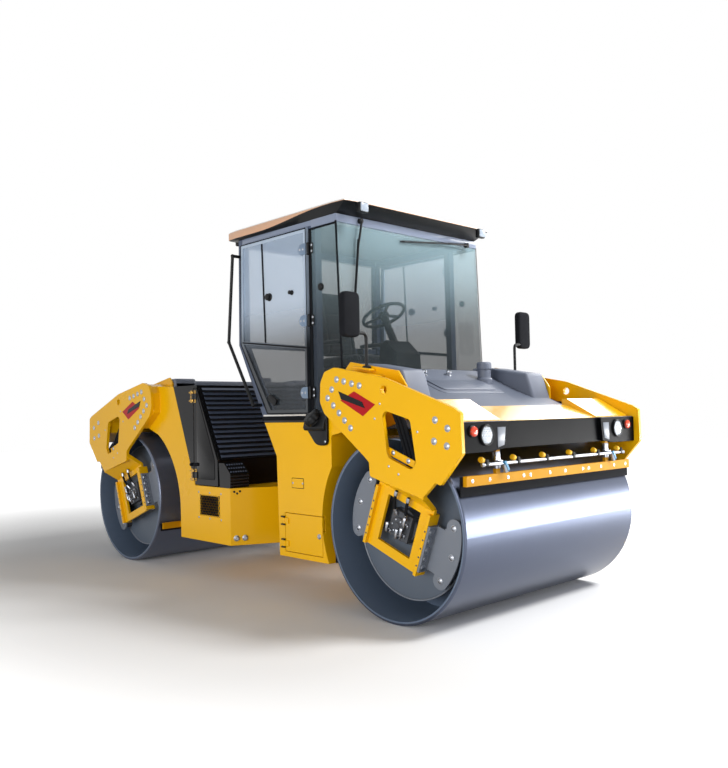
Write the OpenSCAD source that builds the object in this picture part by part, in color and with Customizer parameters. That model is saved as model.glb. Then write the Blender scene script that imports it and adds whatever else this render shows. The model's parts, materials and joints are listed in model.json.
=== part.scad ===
// Articulated tandem road roller with a glazed cab, in millimetres.
// X points forward, Y left, Z up; the origin lies on the ground under the steering pin.

/* [Drums] */
// Diameter of both drums
drum_d = 1300; // [1200:10:1400]
// Width of both drums
drum_w = 2130; // [1800:10:2400]
// Wall of the drum shell
drum_wall = 28; // [20:2:36]
// Depth of the recess from the drum end to the bulkhead
drum_recess = 505; // [440:5:560]
// Thickness of the drum bulkhead
bulkhead_t = 26; // [20:2:40]
// Distance between the two drum axes
wheelbase = 3800; // [3760:10:3860]

/* [Yokes] */
// Gap between a drum end and its side plate
end_gap = 55; // [45:5:90]
// Thickness of a side plate
plate_t = 30; // [20:2:40]
// Diameter of the lifting hole in a side plate
lift_d = 60; // [50:5:80]
// Tilt of the drum leg about the drum axis
leg_tilt = 20; // [15:1:25]
// Half width of the drum leg
leg_half = 270; // [240:5:290]
// Half width of the opening in the drum leg
leg_open = 160; // [130:5:190]
// Bolt circle of the rubber buffers
buffer_pcd = 920; // [840:10:940]
// Diameter of a rubber buffer
buffer_d = 84; // [70:2:96]
// Diameter of the stub that carries the drum
stub_d = 240; // [200:10:280]
// Diameter of a drum hose
hose_d = 26; // [18:1:30]

/* [Frames] */
// Depth of the pads between a side panel and its side plate
pad_depth = 70; // [50:5:100]
// Width of an arm over the drum
arm_w = 160; // [130:5:190]
// Ground clearance of both frames
ground_gap = 330; // [280:10:380]
// Height of the front frame deck under the cab
deck_z = 1395; // [1330:5:1460]
// Height of the rear tank deck
rear_deck_z = 825; // [805:5:880]
// Depth of a tool locker
locker_depth = 240; // [150:10:300]
// Thickness of a locker hatch or an engine door
hatch_t = 22; // [16:2:28]

/* [Hitch] */
// Diameter of the steering pin
pin_d = 100; // [80:5:120]
// Diameter of the oscillation shaft
shaft_d = 160; // [130:5:180]
// Height of the oscillation shaft
shaft_z = 620; // [600:5:640]
// Distance of the rod eye from the steering pin
eye_arm = 220; // [205:5:235]
// Diameter of a steering cylinder
barrel_d = 84; // [70:2:92]
// Diameter of a piston rod
rod_d = 44; // [34:2:50]

/* [Cab] */
// Gap between a cab side and the arm beside it
cab_gap = 25; // [15:5:60]
// Height of the cab roof
roof_top = 3135; // [2900:5:3300]
// Overhang of the roof over a cab side
roof_rim = 41; // [20:1:70]
// Thickness of the glass
glass_t = 8; // [6:1:10]
// Width of a cab post in the side view
post_w = 66; // [50:2:76]
// Height of the bend in the rear post over the door sill
knee_rise = 645; // [560:5:720]
// Distance of the door hinge line ahead of the steering pin
hinge_x = 828; // [800:2:850]
// Width of the door frame
door_rim = 36; // [28:2:44]

/* [Hood] */
// Top of the engine hood
hood_z = 1744; // [1600:2:1800]
// Number of louvres in the grille
louvres = 15; // [11:1:17]

/* [Hidden] */
$fn = 64;
fit = 0.3;
drum_r = drum_d / 2;
drum_end = drum_w / 2;
ax = wheelbase / 2;
az = drum_r;
bulk_y = drum_end - drum_recess;
stub_r = stub_d / 2;
buffer_r = buffer_pcd / 2;
plate_w = drum_w + 2 * (end_gap + plate_t);
plate_out = plate_w / 2;
plate_in = plate_out - plate_t;
body_w = 2 * (plate_in - pad_depth);
body = body_w / 2;
arm_in = body - arm_w;
cab_w = 2 * (arm_in - cab_gap);
cab = cab_w / 2;
roof_w = cab_w + 2 * roof_rim;
leg_y = drum_end - 80;
leg_t = 25;
flange_in = leg_y - 40;
flange_out = leg_y + 55;
cres_t = 15;
cres_y = flange_in - 5;
disc_t = 20;
disc_y = cres_y - 90;
motor_y = leg_y + 12;
sweep = 24.6;
beam_x = drum_r - 50;
wipe_z = sqrt(pow(drum_r + 8, 2) - pow(beam_x + 5, 2));
wipe_x = sqrt(pow(drum_r + 5, 2) - pow(az - ground_gap - 85, 2));
hanger_y = plate_in - 418;
nozzle_pitch = 345;
nozzle_rows = floor((plate_in - 210) / nozzle_pitch + 0.5);
tub_end = 640;
tub_arch = drum_r + 110;
roof_under = roof_top - 105;
roof_front = 1300;
roof_back = -292;
header_z = roof_under - post_w;
sill_z = deck_z + 45;
knee = sill_z + knee_rise;
rail_z = knee - 55;
door_in = cab + 5;
door_out = door_in + 26;
door_hinges = [sill_z + 192, (sill_z + header_z) / 2 + 14, header_z - 164];
glass_z = sill_z + 20;
hatch = [690, ground_gap + 44, 1140, ground_gap + 344];
hatch_hinges = [hatch[1] + 60, hatch[3] - 60];
hatch_axis = body + 10;
pivot_x = 545;
pivot_y = 345;
cyl_len = norm([pivot_x, pivot_y - eye_arm]);
cyl_turn = atan2(eye_arm - pivot_y, pivot_x);
hood_under = hood_z - 25;
grille_knee = rear_deck_z + 237;
engine_hinge = 657;
engine_hinges = [rear_deck_z + 95, hood_z - 104];

// Drum hose from the arm down to the block on the neck: X and Z from the drum axis, Y in from the plate
hose_route = [[-204.7, 109, 900], [-165, 109, 900], [-120, 107, 900], [-10, 90, 865], [70, 68, 780],
  [140, 45, 660], [196, 30, 545], [224, 28, 445], [234, 28, 350]];
// Short hose from the neck to the motor: X across the leg, Y out from the leg, Z along it
motor_hose = [[60, 65, 267], [60, 65, 225], [58, 60, 180], [54, 45, 135], [50, 22, 98]];

// Unit vector
function unit(v) = v / norm(v);

// Arc points that round the corner p between a and b
function corner(a, p, b, r, n) = r <= 0 ? [p] :
  let (u = unit(a - p), w = unit(b - p), half = acos(u * w) / 2)
  let (c = p + unit(u + w) * r / sin(half), s = p + u * r / tan(half), e = p + w * r / tan(half))
  let (a0 = atan2(s.y - c.y, s.x - c.x), a1 = atan2(e.y - c.y, e.x - c.x))
  let (d = ((a1 - a0 + 900) % 360) - 180)
  [for (i = [0:n]) c + r * [cos(a0 + d * i / n), sin(a0 + d * i / n)]];

// Outline whose corners [x, y, radius] are rounded
function rounded(v, n = 5) = let (k = len(v))
  [for (i = [0:k - 1])
    each corner([v[(i + k - 1) % k].x, v[(i + k - 1) % k].y], [v[i].x, v[i].y],
      [v[(i + 1) % k].x, v[(i + 1) % k].y], len(v[i]) > 2 ? v[i][2] : 0, n)];

// Points of an arc about c, from angle a to angle b
function arc(c, r, a, b, n = 14) = [for (i = [0:n])
  c + r * [cos(a + (b - a) * i / n), sin(a + (b - a) * i / n)]];

// Outline moved by the distance x and z, with its corner radii kept
function shifted(v, x, z) = [for (p = v) len(p) > 2 ? [x + p.x, z + p.y, p[2]] : [x + p.x, z + p.y]];

// Outline given about the front drum axis
function at_axle(v) = shifted(v, ax, az);

// Outline given about the top of the front drum
function at_top(v) = shifted(v, ax, drum_d);

// Outline given about the upper front edge of the front drum
function at_front(v) = shifted(v, ax + beam_x, drum_d);

// Point between b and c on a smooth curve through a, b, c and d
function between(a, b, c, d, t) = b + (c - a) * t / 2 + (a - b * 5 / 2 + c * 2 - d / 2) * t * t
  + (b * 3 / 2 - a / 2 - c * 3 / 2 + d / 2) * t * t * t;

// Smooth curve through a route, with n steps between two of its points
function smooth(p, n = 3) = let (k = len(p) - 1)
  concat([for (i = [0:k - 1]) for (j = [0:n - 1])
    between(p[max(i - 1, 0)], p[i], p[i + 1], p[min(i + 2, k)], j / n)], [p[k]]);

// Ring of n points about c, square to the direction t
function ring(c, t, r, n) = let (u = unit(cross(t, [0, 1, 0])), w = cross(t, u))
  [for (i = [0:n - 1]) c + r * (u * cos(360 * i / n) + w * sin(360 * i / n))];

// Round hose along a route
module hose(route, r, n = 8) {
  p = smooth(route);
  k = len(p) - 1;
  rings = [for (i = [0:k]) each ring(p[i], unit(p[min(i + 1, k)] - p[max(i - 1, 0)]), r, n)];
  walls = [for (i = [0:k - 1]) for (j = [0:n - 1])
    [i * n + j, (i + 1) * n + j, (i + 1) * n + (j + 1) % n, i * n + (j + 1) % n]];
  polyhedron(rings, concat(walls, [[for (j = [0:n - 1]) j]], [[for (j = [n - 1:-1:0]) k * n + j]]));
}

// Outline in X and Z, extruded across Y
module side(y0, y1) {
  rotate([90, 0, 0])
    translate([0, 0, -y1])
      linear_extrude(y1 - y0)
        children();
}

// Outline in Y and Z, extruded along X
module facing(x0, x1) {
  translate([x0, 0, 0])
    rotate([90, 0, 90])
      linear_extrude(x1 - x0)
        children();
}

// Outline in X and Y, extruded up
module plan(z0, z1) {
  translate([0, 0, z0])
    linear_extrude(z1 - z0)
      children();
}

// Block between two corners
module box(x0, x1, y0, y1, z0, z1) {
  translate([x0, y0, z0])
    cube([x1 - x0, y1 - y0, z1 - z0]);
}

// Round bar along X through the height z
module bar_x(r, x0, x1, y, z) {
  translate([x0, y, z])
    rotate([0, 90, 0])
      cylinder(r = r, h = x1 - x0);
}

// Round bar along Y
module bar_y(r, y0, y1, x, z) {
  translate([x, y0, z])
    rotate([-90, 0, 0])
      cylinder(r = r, h = y1 - y0);
}

// Round bar along Z
module bar_z(r, z0, z1, x, y) {
  translate([x, y, z0])
    cylinder(r = r, h = z1 - z0);
}

// Round bar between two points
module bar(r, a, b) {
  d = b - a;
  translate(a)
    rotate([0, acos(d.z / norm(d)), atan2(d.y, d.x)])
      cylinder(r = r, h = norm(d), $fn = 24);
}

// Copy on both sides of the machine
module both() {
  children();
  mirror([0, 1, 0])
    children();
}

// The same module at the rear axle
module rear() {
  mirror([1, 0, 0])
    children();
}

// Tilted frame of the drum leg, about the drum axis
module leg_place() {
  translate([ax, 0, az])
    rotate([0, leg_tilt, 0])
      children();
}

// Drum with two bored bulkheads
module drum() {
  w = drum_end;
  ri = drum_r - drum_wall;
  b = bulk_y - bulkhead_t;
  translate([ax, 0, az])
    rotate([90, 0, 0])
      rotate_extrude($fn = 128)
        polygon([[drum_r, -w + 8], [drum_r, w - 8], [drum_r - 8, w], [ri, w], [ri, bulk_y],
          [stub_r + fit, bulk_y], [stub_r + fit, b], [ri, b], [ri, -b], [stub_r + fit, -b],
          [stub_r + fit, -bulk_y], [ri, -bulk_y], [ri, -w], [drum_r - 8, -w]]);
}

// Lower and upper faces of the bent neck, as [distance from the middle, height along the leg]
neck_low = [[leg_y + leg_t - 2, 245], [plate_out - 3, 345]];
neck_high = [[leg_y + 2, 270], [plate_in + 3, 374]];

// Side plates with the bent necks and the open legs that reach into the drum
module yokes() {
  upper = [[-592, 468, 40], [-485, 497, 70], [30, 400, 400]];
  nose = [[48, 179, 40], [96, 150, 20], [104, -109, 30]];
  lower = [[520, 336, 20], [477, 354, 12], [358, 243, 20], [-128, 370, 20]];
  back = [[-132, -184, 30], [-182, -143, 60], [-600, 162, 60], [-645, 245, 70], [-638, 390, 80]];
  window = [[-1, 183, 40], [265, 111, 40], [312, -170, 40], [273, -225, 40], [48, -144, 60]];
  both() {
    difference() {
      side(plate_in, plate_out)
        polygon(rounded(concat(at_top(upper), at_front(nose), at_axle(lower), at_top(back))));
      side(plate_in - 1, plate_out + 1)
        polygon(rounded(at_top(window)));
      bar_y(lift_d / 2, plate_in - 1, plate_out + 1, ax + 27, drum_d + 317);
    }
    leg_place() {
      facing(-leg_half + 3, leg_half - 10)
        polygon(concat([[leg_y + 2, 212], [leg_y + leg_t - 2, 212]], neck_low,
          [[plate_out - 3, 388], [plate_in + 3, 388], neck_high[1], neck_high[0]]));
      difference() {
        box(-leg_half, leg_half, leg_y, leg_y + leg_t, -220, 262);
        box(-leg_open, leg_open, leg_y - 1, leg_y + leg_t + 1, -150, 195);
      }
      for (s = [0, 1])
        mirror([s, 0, 0])
          box(leg_half - 25, leg_half, flange_in, flange_out, -220, 225);
    }
  }
}

// Crescent plates bolted to the leg flanges
module carriers() {
  far = 2 * buffer_r;
  both()
    leg_place()
      for (s = [0, 1])
        mirror([s, 0, 0]) {
          box(leg_half, leg_half + 18, cres_y, flange_out - 5, -185, 150);
          box(leg_half, buffer_r - 50, cres_y, cres_y + cres_t, -170, 150);
          intersection() {
            difference() {
              bar_y(buffer_r + 62, cres_y, cres_y + cres_t, 0, 0);
              bar_y(buffer_r - 75, cres_y - 1, cres_y + cres_t + 1, 0, 0);
            }
            side(cres_y, cres_y + cres_t)
              polygon([[0, 0], far * [cos(sweep), -sin(sweep)], far * [cos(sweep), sin(sweep)]]);
          }
          for (a = [-sweep, sweep])
            bar_y(62, cres_y, cres_y + cres_t, buffer_r * cos(a), buffer_r * sin(a));
        }
}

// Rubber buffers, drive discs, travel motors and the stubs that carry the drum
module mounts() {
  both()
    leg_place() {
      for (s = [0, 180])
        for (a = [-sweep, 0, sweep])
          bar_y(buffer_d / 2, disc_y + disc_t, cres_y, buffer_r * cos(a + s), buffer_r * sin(a + s));
      bar_y(buffer_r + 55, disc_y, disc_y + disc_t, 0, 0);
      bar_y(stub_r, bulk_y - bulkhead_t - 12, disc_y, 0, 0);
      bar_y(118, disc_y + disc_t, leg_y - 30, 0, 20);
      box(-95, 95, leg_y - 60, motor_y, -70, 120);
    }
}

// Height of the upper face of the neck at the distance y from the middle
function neck_z(y) = neck_high[0].y
  + (y - neck_high[0].x) * (neck_high[1].y - neck_high[0].y) / (neck_high[1].x - neck_high[0].x);

// Hoses behind the side plates and in the drum legs, with the coupling block on the neck
module hoses() {
  r = hose_d / 2;
  y0 = plate_in - 28 - r - 6;
  y1 = plate_in - 28 + r + 6;
  both() {
    for (i = [0:2])
      hose([for (p = hose_route) [ax + p.x + (p.x > -120 ? 34 * (i - 1) : 0), plate_in - p.y,
        az + p.z - (p.x > -11 ? 0 : 48 * (i - 1))]], r);
    leg_place() {
      facing(60, 150)
        polygon([[y0, neck_z(y0) + fit], [y1, neck_z(y1) + fit], [y1, 405], [y0, 405]]);
      for (s = [0, 1])
        mirror([s, 0, 0])
          hose([for (p = motor_hose) [p.x, leg_y + p.y, p.z]], r - 2);
    }
  }
}

// Sloped beam that joins the side plates ahead of the drum
module crossbeam() {
  side(-plate_in, plate_in)
    polygon(concat(at_top([[300, 0], [300, 193], [340, 193]]), at_front([[0, 92], [0, -90], [-40, -100]])));
  both()
    side(plate_in - 500, plate_in)
      polygon(concat(at_top([[300, 0], [300, 243], [345, 243]]), at_front([[0, 102], [0, -90]])));
}

// Height of the lower pod edge from the drum top, at the distance y from the middle
function pod_low(y) = -110 + (plate_in - 330 - y) * 20 / 165;

// Bumper panel with a lamp pod on each side
module bumper() {
  x = ax + beam_x;
  pod = plate_in - 520;
  knee_y = plate_in - 330;
  facing(x, x + 26)
    polygon(shifted([[-pod - 40, 88], [pod + 40, 88], [pod + 60, -95], [-pod - 60, -95]], 0, drum_d));
  both()
    facing(x, x + 55)
      polygon(rounded(shifted([[pod, 88, 12], [plate_in - 4, 88, 12], [plate_in - 4, -110, 12],
        [knee_y, pod_low(knee_y), 30], [pod + 25, pod_low(pod + 25), 12]], 0, drum_d)));
}

// Headlamps and indicators
module lamps() {
  x = ax + beam_x + 55;
  both() {
    bar_x(71, x, x + 17, plate_in - 277, drum_d + 1);
    bar_x(39, x, x + 30, plate_in - 135, drum_d + 29);
  }
}

// Spray pipe with its nozzles and clamps
module spray_bar() {
  x = ax + beam_x + 68;
  z = drum_d - 190;
  bar_y(12, -plate_in + 210, plate_in - 210, x, z);
  both() {
    box(x - 28, x, hanger_y - 12, hanger_y + 12, z - 11, z + 11);
    for (i = [0:nozzle_rows - 1])
      box(x - 40, x, (i + 0.5) * nozzle_pitch - 16, (i + 0.5) * nozzle_pitch + 16, z + 6, z + 36);
  }
}

// Scraper beams ahead of and behind the drum, with the hangers of the front one
module scraper() {
  x = ax + beam_x + 15;
  z = az + wipe_z;
  x_low = ax - wipe_x - 9;
  box(x, x + 30, -drum_end + 25, drum_end - 25, z + 67, z + 134);
  both()
    facing(x, x + 25)
      polygon([[hanger_y - 22, z + 132], [hanger_y + 22, z + 132],
        [hanger_y + 22, drum_d + pod_low(hanger_y + 22)], [hanger_y - 22, drum_d + pod_low(hanger_y - 22)]]);
  box(x_low - 20, x_low, -drum_end + 35, drum_end - 35, ground_gap + 35, ground_gap + 95);
}

// Rubber scraper blades
module scraper_rubber() {
  x = ax + beam_x + 5;
  z = az + wipe_z;
  box(x, x + 10, -drum_end + 3, drum_end - 3, z, z + 130);
  box(ax - wipe_x - 9, ax - wipe_x, -drum_end + 20, drum_end - 20, ground_gap + 15, ground_gap + 85);
}

// Sprinkler tank that fills the space over the drum
module tank() {
  w = arm_in - 5;
  x = -tub_end + fit;
  side(-w, w)
    polygon(at_top([[x, 40], [x, 515], [-590, 522], [130, 210], [300, 185], [300, 70], [250, 40]]));
  both()
    side(w - 245, w)
      polygon(at_top([[x, 40], [x, 540], [-430, 534], [-50, 470], [40, 200], [40, 40]]));
  bar_z(56, drum_d + 380, drum_d + 575, ax - 350, w - 435);
}

// Outline of the arm end that the side plate is bolted to, from the drum top
arm_pad = [[-638, 200], [-638, 390], [-590, 458], [-485, 482], [-205, 430], [-205, 45], [-420, 45]];

// Inner fin beside the tank, from the drum top
fin_outline = [[-621, 50], [-621, 500], [-569, 548], [-70, 460], [8, 350], [8, 110], [-205, 50]];

// Pads and fins at the ends of the arms
module arm_ends() {
  side(body, plate_in)
    polygon(rounded(at_top(arm_pad)));
  side(arm_in, arm_in + 15)
    polygon(rounded(at_top(fin_outline)));
}

// Front frame: tub under the cab, arms over the drum, steering bracket
module front_frame() {
  rise = drum_r - 240;
  recess = 5;
  lip = 22;
  color("gold") {
    difference() {
      side(-body, body)
        polygon(concat([[433, deck_z], [589, deck_z - 272], [612, ground_gap]],
          arc([ax, az], tub_arch, 180 + asin((az - ground_gap) / tub_arch), 180 - asin(rise / tub_arch)),
          [[ax - tub_end, deck_z]]));
      both() {
        box(hatch[0] + lip, hatch[2] - lip, body - locker_depth, body + 1, hatch[1] + lip, hatch[3] - lip);
        box(hatch[0] - recess, hatch[2] + recess, body - hatch_t - recess, body + 1,
          hatch[1] - recess, hatch[3] + recess);
      }
    }
    both() {
      side(arm_in, body)
        polygon(concat([[ax - 780, deck_z - 295], [ax - 780, deck_z], [ax - 660, deck_z + 105]],
          at_top([for (p = arm_pad) if (p.y > 210) p]),
          at_top([[-205, 45], [-420, 45], [-660, -10], [-720, -200]])));
      arm_ends();
      box(ax - wipe_x - 119, ax - wipe_x - 29, drum_end - 305, drum_end - 225,
        ground_gap + 45, ground_gap + 85);
    }
    for (z = [shaft_z - 180, shaft_z + 140])
      difference() {
        union() {
          plan(z, z + 40)
            polygon([[620, -280], [620, 280], [0, 122], [0, -122]]);
          bar_z(122, z, z + 40, 0, 0);
        }
        bar_z(pin_d / 2 + fit, z - 1, z + 41, 0, 0);
      }
    both()
      for (z = [shaft_z - 62, shaft_z + 34])
        difference() {
          box(pivot_x - 40, 615, pivot_y - 40, pivot_y + 40, z, z + 28);
          bar_z(18 + fit, z - 1, z + 29, pivot_x, pivot_y);
        }
  }
}

// Hitch casting: steering pin, oscillation shaft and the steering arms
module hitch() {
  color("dimgray") {
    bar_z(118, shaft_z - 135, shaft_z + 135, 0, 0);
    bar_z(pin_d / 2, shaft_z - 200, shaft_z + 200, 0, 0);
    bar_x(shaft_d / 2, -400, 0, 0, shaft_z);
    bar_x(shaft_d / 2 + 25, -120, 0, 0, shaft_z);
    both()
      for (z = [shaft_z - 60, shaft_z + 36]) {
        box(-55, 55, 0, eye_arm, z, z + 24);
        bar_z(55, z, z + 24, 0, eye_arm);
      }
  }
}

// Frame of a steering cylinder: origin at its pivot on the front frame, X along the rod
module cylinder_place() {
  translate([pivot_x, -pivot_y, shaft_z])
    rotate([0, 0, 180 + cyl_turn])
      children();
}

// Barrel of the right steering cylinder, hung on its pivot pin
module barrel() {
  cylinder_place() {
    difference() {
      union() {
        bar_x(barrel_d / 2, 62, cyl_len - 175, 0, 0);
        box(0, 64, -26, 26, -29, 29);
        bar_z(34, -29, 29, 0, 0);
      }
      bar_x(rod_d / 2 + fit, 74, cyl_len, 0, 0);
    }
    bar_z(18, -62, 62, 0, 0);
  }
}

// Piston rod of the right steering cylinder with its eye
module rod() {
  cylinder_place() {
    bar_x(rod_d / 2, 200, cyl_len - 20, 0, 0);
    difference() {
      bar_z(42, -29, 29, cyl_len, 0);
      bar_z(19, -30, 30, cyl_len, 0);
    }
  }
}

// Rear frame: tank with the hitch slot, side pillars, arms over the drum, fire wall
module rear_frame() {
  nose = -140;
  slot = body - 490;
  tip = body - 450;
  shelf = rear_deck_z + 195;
  color("gold")
    rear() {
      difference() {
        plan(ground_gap, rear_deck_z)
          polygon([[80, -body], [nose, -tip], [nose, -slot], [135, -slot], [135, slot], [nose, slot],
            [nose, tip], [80, body], [895, body], [895, -body]]);
        bar_x(shaft_d / 2 + fit, 130, 410, 0, shaft_z);
      }
      both() {
        side(arm_in, body)
          polygon(concat([[600, rear_deck_z - 40], [645, rear_deck_z], [1010, hood_z]],
            at_top([[-592, 458], [-485, 482], [-205, 430], [-205, 45], [-420, 45]]),
            arc([ax - 172, az - 75], drum_r + 178, 121, 180), [[895, ground_gap + 40]]));
        arm_ends();
        box(890, ax - wipe_x - 29, drum_end - 305, drum_end - 225, ground_gap + 45, ground_gap + 85);
      }
      box(985, 1030, -arm_in - 5, arm_in + 5, shelf - 20, hood_under);
      box(860, 1030, -arm_in - 5, arm_in + 5, rear_deck_z - 20, shelf);
    }
}

// Engine block
module engine() {
  top = hood_z - 244;
  color("gray")
    rear() {
      box(600, 860, -420, 420, rear_deck_z, top);
      box(860, 960, -420, 420, rear_deck_z + 195, top);
    }
}

// Hood top and the fixed side corners
module hood() {
  lean = 365 / (hood_z - rear_deck_z);
  color("black")
    rear() {
      side(-body, body)
        polygon([[600, hood_z], [1010, hood_z], [1010 - 25 * lean, hood_under], [600, hood_under]]);
      both()
        side(body - 25, body)
          polygon([[663, rear_deck_z + 18 / lean], [663, hood_under], [1010 - 25 * lean, hood_under]]);
    }
}

// Distance of the sloped grille face behind the steering pin, at the height z
function grille_x(z) = 288 + 318 * (z - grille_knee) / (hood_under - grille_knee);

// Slanted grille with its louvres
module grille() {
  w = body - 30;
  pitch = (hood_under - grille_knee) / louvres;
  color("black")
    rear() {
      side(-w, w)
        polygon([[grille_x(hood_under), hood_under], [288, grille_knee], [272, rear_deck_z],
          [302, rear_deck_z], [318, grille_knee - 6], [grille_x(hood_under) + 34, hood_under]]);
      for (i = [0:louvres - 1])
        translate([grille_x(grille_knee + pitch * (i + 0.35)), 0, grille_knee + pitch * (i + 0.35)])
          rotate([0, -20, 0])
            box(-34, 14, -w + 15, w - 15, 0, 7);
    }
}

// Step boxes on the rear tank
module steps() {
  z = rear_deck_z;
  color("black")
    rear()
      both()
        side(body - 200, body - 5)
          polygon([[84, z], [84, z + 125], [176, z + 216], [262, z + 216], [246, z]]);
}

// Hinge pins of the engine doors
module hood_hinges() {
  color("goldenrod")
    rear()
      both()
        for (z = engine_hinges) {
          bar_z(6, z - 45, z + 45, engine_hinge, body + 9);
          for (s = [-45, 31]) {
            bar_z(8, z + s, z + s + 14, engine_hinge, body + 9);
            box(engine_hinge, engine_hinge + 50, body, body + 17, z + s, z + s + 14);
          }
        }
}

// Right engine door
module engine_door() {
  low = rear_deck_z + 8;
  high = hood_z - 30;
  rear() {
    side(-body, -body + hatch_t)
      polygon([[636, low], [652, low + 42], [652, high], [604, high], [grille_x(high - 24) - 2, high - 24],
        [275, grille_knee], [268, low]]);
    for (z = engine_hinges)
      difference() {
        union() {
          bar_z(10, z - 28, z + 28, engine_hinge, -body - 9);
          box(engine_hinge - 60, engine_hinge - 5, -body - 9, -body, z - 28, z + 28);
        }
        bar_z(6 + fit, z - 30, z + 30, engine_hinge, -body - 9);
      }
  }
}

// Right tool locker hatch
module locker_hatch() {
  x = hatch[0];
  box(x, hatch[2], -body, -body + hatch_t, hatch[1], hatch[3]);
  for (z = hatch_hinges)
    difference() {
      union() {
        bar_z(9, z - 22, z + 22, x - 4, -hatch_axis);
        box(x, x + 45, -hatch_axis, -body, z - 22, z + 22);
        box(x - 4, x, -hatch_axis - 8, -hatch_axis + 9, z - 22, z + 22);
      }
      bar_z(5 + fit, z - 24, z + 24, x - 4, -hatch_axis);
    }
}

// Cab floor on the front frame
module cab_floor() {
  color("dimgray")
    plan(deck_z, sill_z)
      polygon(rounded([[165, -cab, 20], [1195, -cab, 60], [1195, cab, 60], [165, cab, 20]]));
}

// Cab posts, headers and sills
module cab_frame() {
  low = sill_z + 30;
  w = cab - 60;
  color("slategray") {
    both()
      difference() {
        side(cab - 65, cab)
          polygon([[165, sill_z], [-178, knee], [-165, roof_under], [1150, roof_under], [1190, sill_z]]);
        side(cab - 66, cab + 1)
          polygon([[165 + post_w * 1.4, low], [-178 + post_w * 1.2, knee], [-165 + post_w, header_z],
            [hinge_x + 4, header_z], [hinge_x + 14, low]]);
        side(cab - 66, cab + 1)
          polygon([[hinge_x + 10 + post_w, low], [hinge_x + post_w, header_z],
            [roof_front, header_z], [roof_front, low]]);
      }
    box(1085, 1150, -w, w, header_z, roof_under);
    box(-165, -100, -w, w, header_z, roof_under);
    box(-176, -112, -w, w, knee - 25, knee + 25);
  }
}

// Roof with a thin rounded rim
module cab_roof() {
  w = roof_w / 2;
  f = roof_front;
  b = roof_back;
  color("tan")
    intersection() {
      side(-w, w)
        polygon(rounded([[b + 2, roof_under + 18, 10], [b, roof_top - 34, 20], [b + 82, roof_top - 8, 60],
          [350, roof_top, 0], [f - 110, roof_top - 4, 60], [f - 2, roof_top - 34, 20],
          [f, roof_under + 44, 10], [1165, roof_under, 0], [-180, roof_under, 0]]));
      plan(roof_under - 1, roof_top + 1)
        polygon(rounded([[b - 3, -w, 90], [f + 3, -w, 130], [f + 3, w, 130], [b - 3, w, 90]]));
    }
}

// Windscreen, quarter panes and rear panes
module cab_glass() {
  g = glass_t;
  top = header_z;
  x = hinge_x + 16;
  color("lightblue", 0.4) {
    side(-cab - g, cab + g)
      polygon([[1150, top], [1150 + g, top], [1208 + g, glass_z], [1208, glass_z]]);
    both()
      side(cab, cab + g)
        polygon([[x, glass_z], [1206, glass_z], [1148, top], [x, top]]);
    side(-cab + 65, cab - 65)
      polygon([[-150, knee + 25], [-150 + g, knee + 25], [-150 + g, top], [-150, top]]);
    side(-cab + 65, cab - 65)
      polygon([[-145, knee - 25], [-145 + g, knee - 25], [182 + g, sill_z], [182, sill_z]]);
  }
}

// Hinge pins of the cab doors and the locker hatches
module cab_hinges() {
  color("dimgray")
    both() {
      for (z = door_hinges) {
        bar_z(6, z - 50, z + 50, hinge_x, door_in + 13);
        for (s = [-50, 36]) {
          bar_z(9, z + s, z + s + 14, hinge_x, door_in + 13);
          box(hinge_x - 7, hinge_x + 14, cab, door_in + 13, z + s, z + s + 14);
        }
      }
      for (z = hatch_hinges) {
        bar_z(5, z - 36, z + 36, hatch[0] - 4, hatch_axis);
        for (s = [-36, 25]) {
          bar_z(8, z + s, z + s + 11, hatch[0] - 4, hatch_axis);
          box(hatch[0] - 40, hatch[0] - 6, body, hatch_axis + 7, z + s, z + s + 11);
        }
      }
    }
}

// Corners of the door outline, shrunk by an inset
function door_outline(i) = [[262 + i * 1.5, sill_z + 22 + i], [-112 + i * 1.25, knee + 3],
  [-95 + i, header_z + 10 - i], [hinge_x - 10 - i, header_z + 10 - i], [hinge_x - 10 - i, sill_z + 22 + i]];

// Outline of the sloped middle rail of a door
door_rail = [[-200, rail_z + 100], [-200, rail_z + 72], [900, rail_z - 60], [900, rail_z - 32]];

// Right door frame with its hinge knuckles
module door_frame() {
  difference() {
    side(-door_out, -door_in)
      polygon(door_outline(0));
    side(-door_out - 1, -door_in + 1)
      polygon(door_outline(door_rim));
  }
  intersection() {
    side(-door_out, -door_in)
      polygon(door_outline(2));
    side(-door_out, -door_in)
      polygon(door_rail);
  }
  for (z = door_hinges)
    difference() {
      union() {
        bar_z(11, z - 34, z + 34, hinge_x, -door_in - 13);
        box(hinge_x - 40, hinge_x, -door_in - 20, -door_in - 6, z - 34, z + 34);
      }
      bar_z(6 + fit, z - 40, z + 40, hinge_x, -door_in - 13);
    }
}

// Right door panes, above and below the middle rail
module door_panes() {
  y0 = -door_in - 16;
  difference() {
    side(y0, y0 + glass_t)
      polygon(door_outline(door_rim));
    side(y0 - 1, y0 + glass_t + 1)
      polygon(door_rail);
  }
}

// Seat pedestal and frame
module seat_base() {
  color("dimgray") {
    box(220, 620, -230, 230, sill_z, sill_z + 60);
    box(270, 570, -170, 170, sill_z + 60, sill_z + 380);
    box(190, 660, -240, 240, sill_z + 380, sill_z + 430);
  }
}

// Seat cushion, backrest and armrests
module seat_cushions() {
  z = sill_z + 430;
  color("black") {
    side(-245, 245)
      polygon(rounded([[180, z, 20], [690, z, 30], [690, z + 120, 50], [300, z + 110, 20],
        [180, z + 110, 20]]));
    side(-235, 235)
      polygon(rounded([[80, z + 110.3, 20], [260, z + 110.3, 20], [140, z + 760, 40], [20, z + 740, 40]]));
    both()
      box(180, 560, 255, 330, z + 200, z + 250);
    both()
      box(180, 240, 240, 290, z + 20, z + 200);
  }
}

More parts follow.
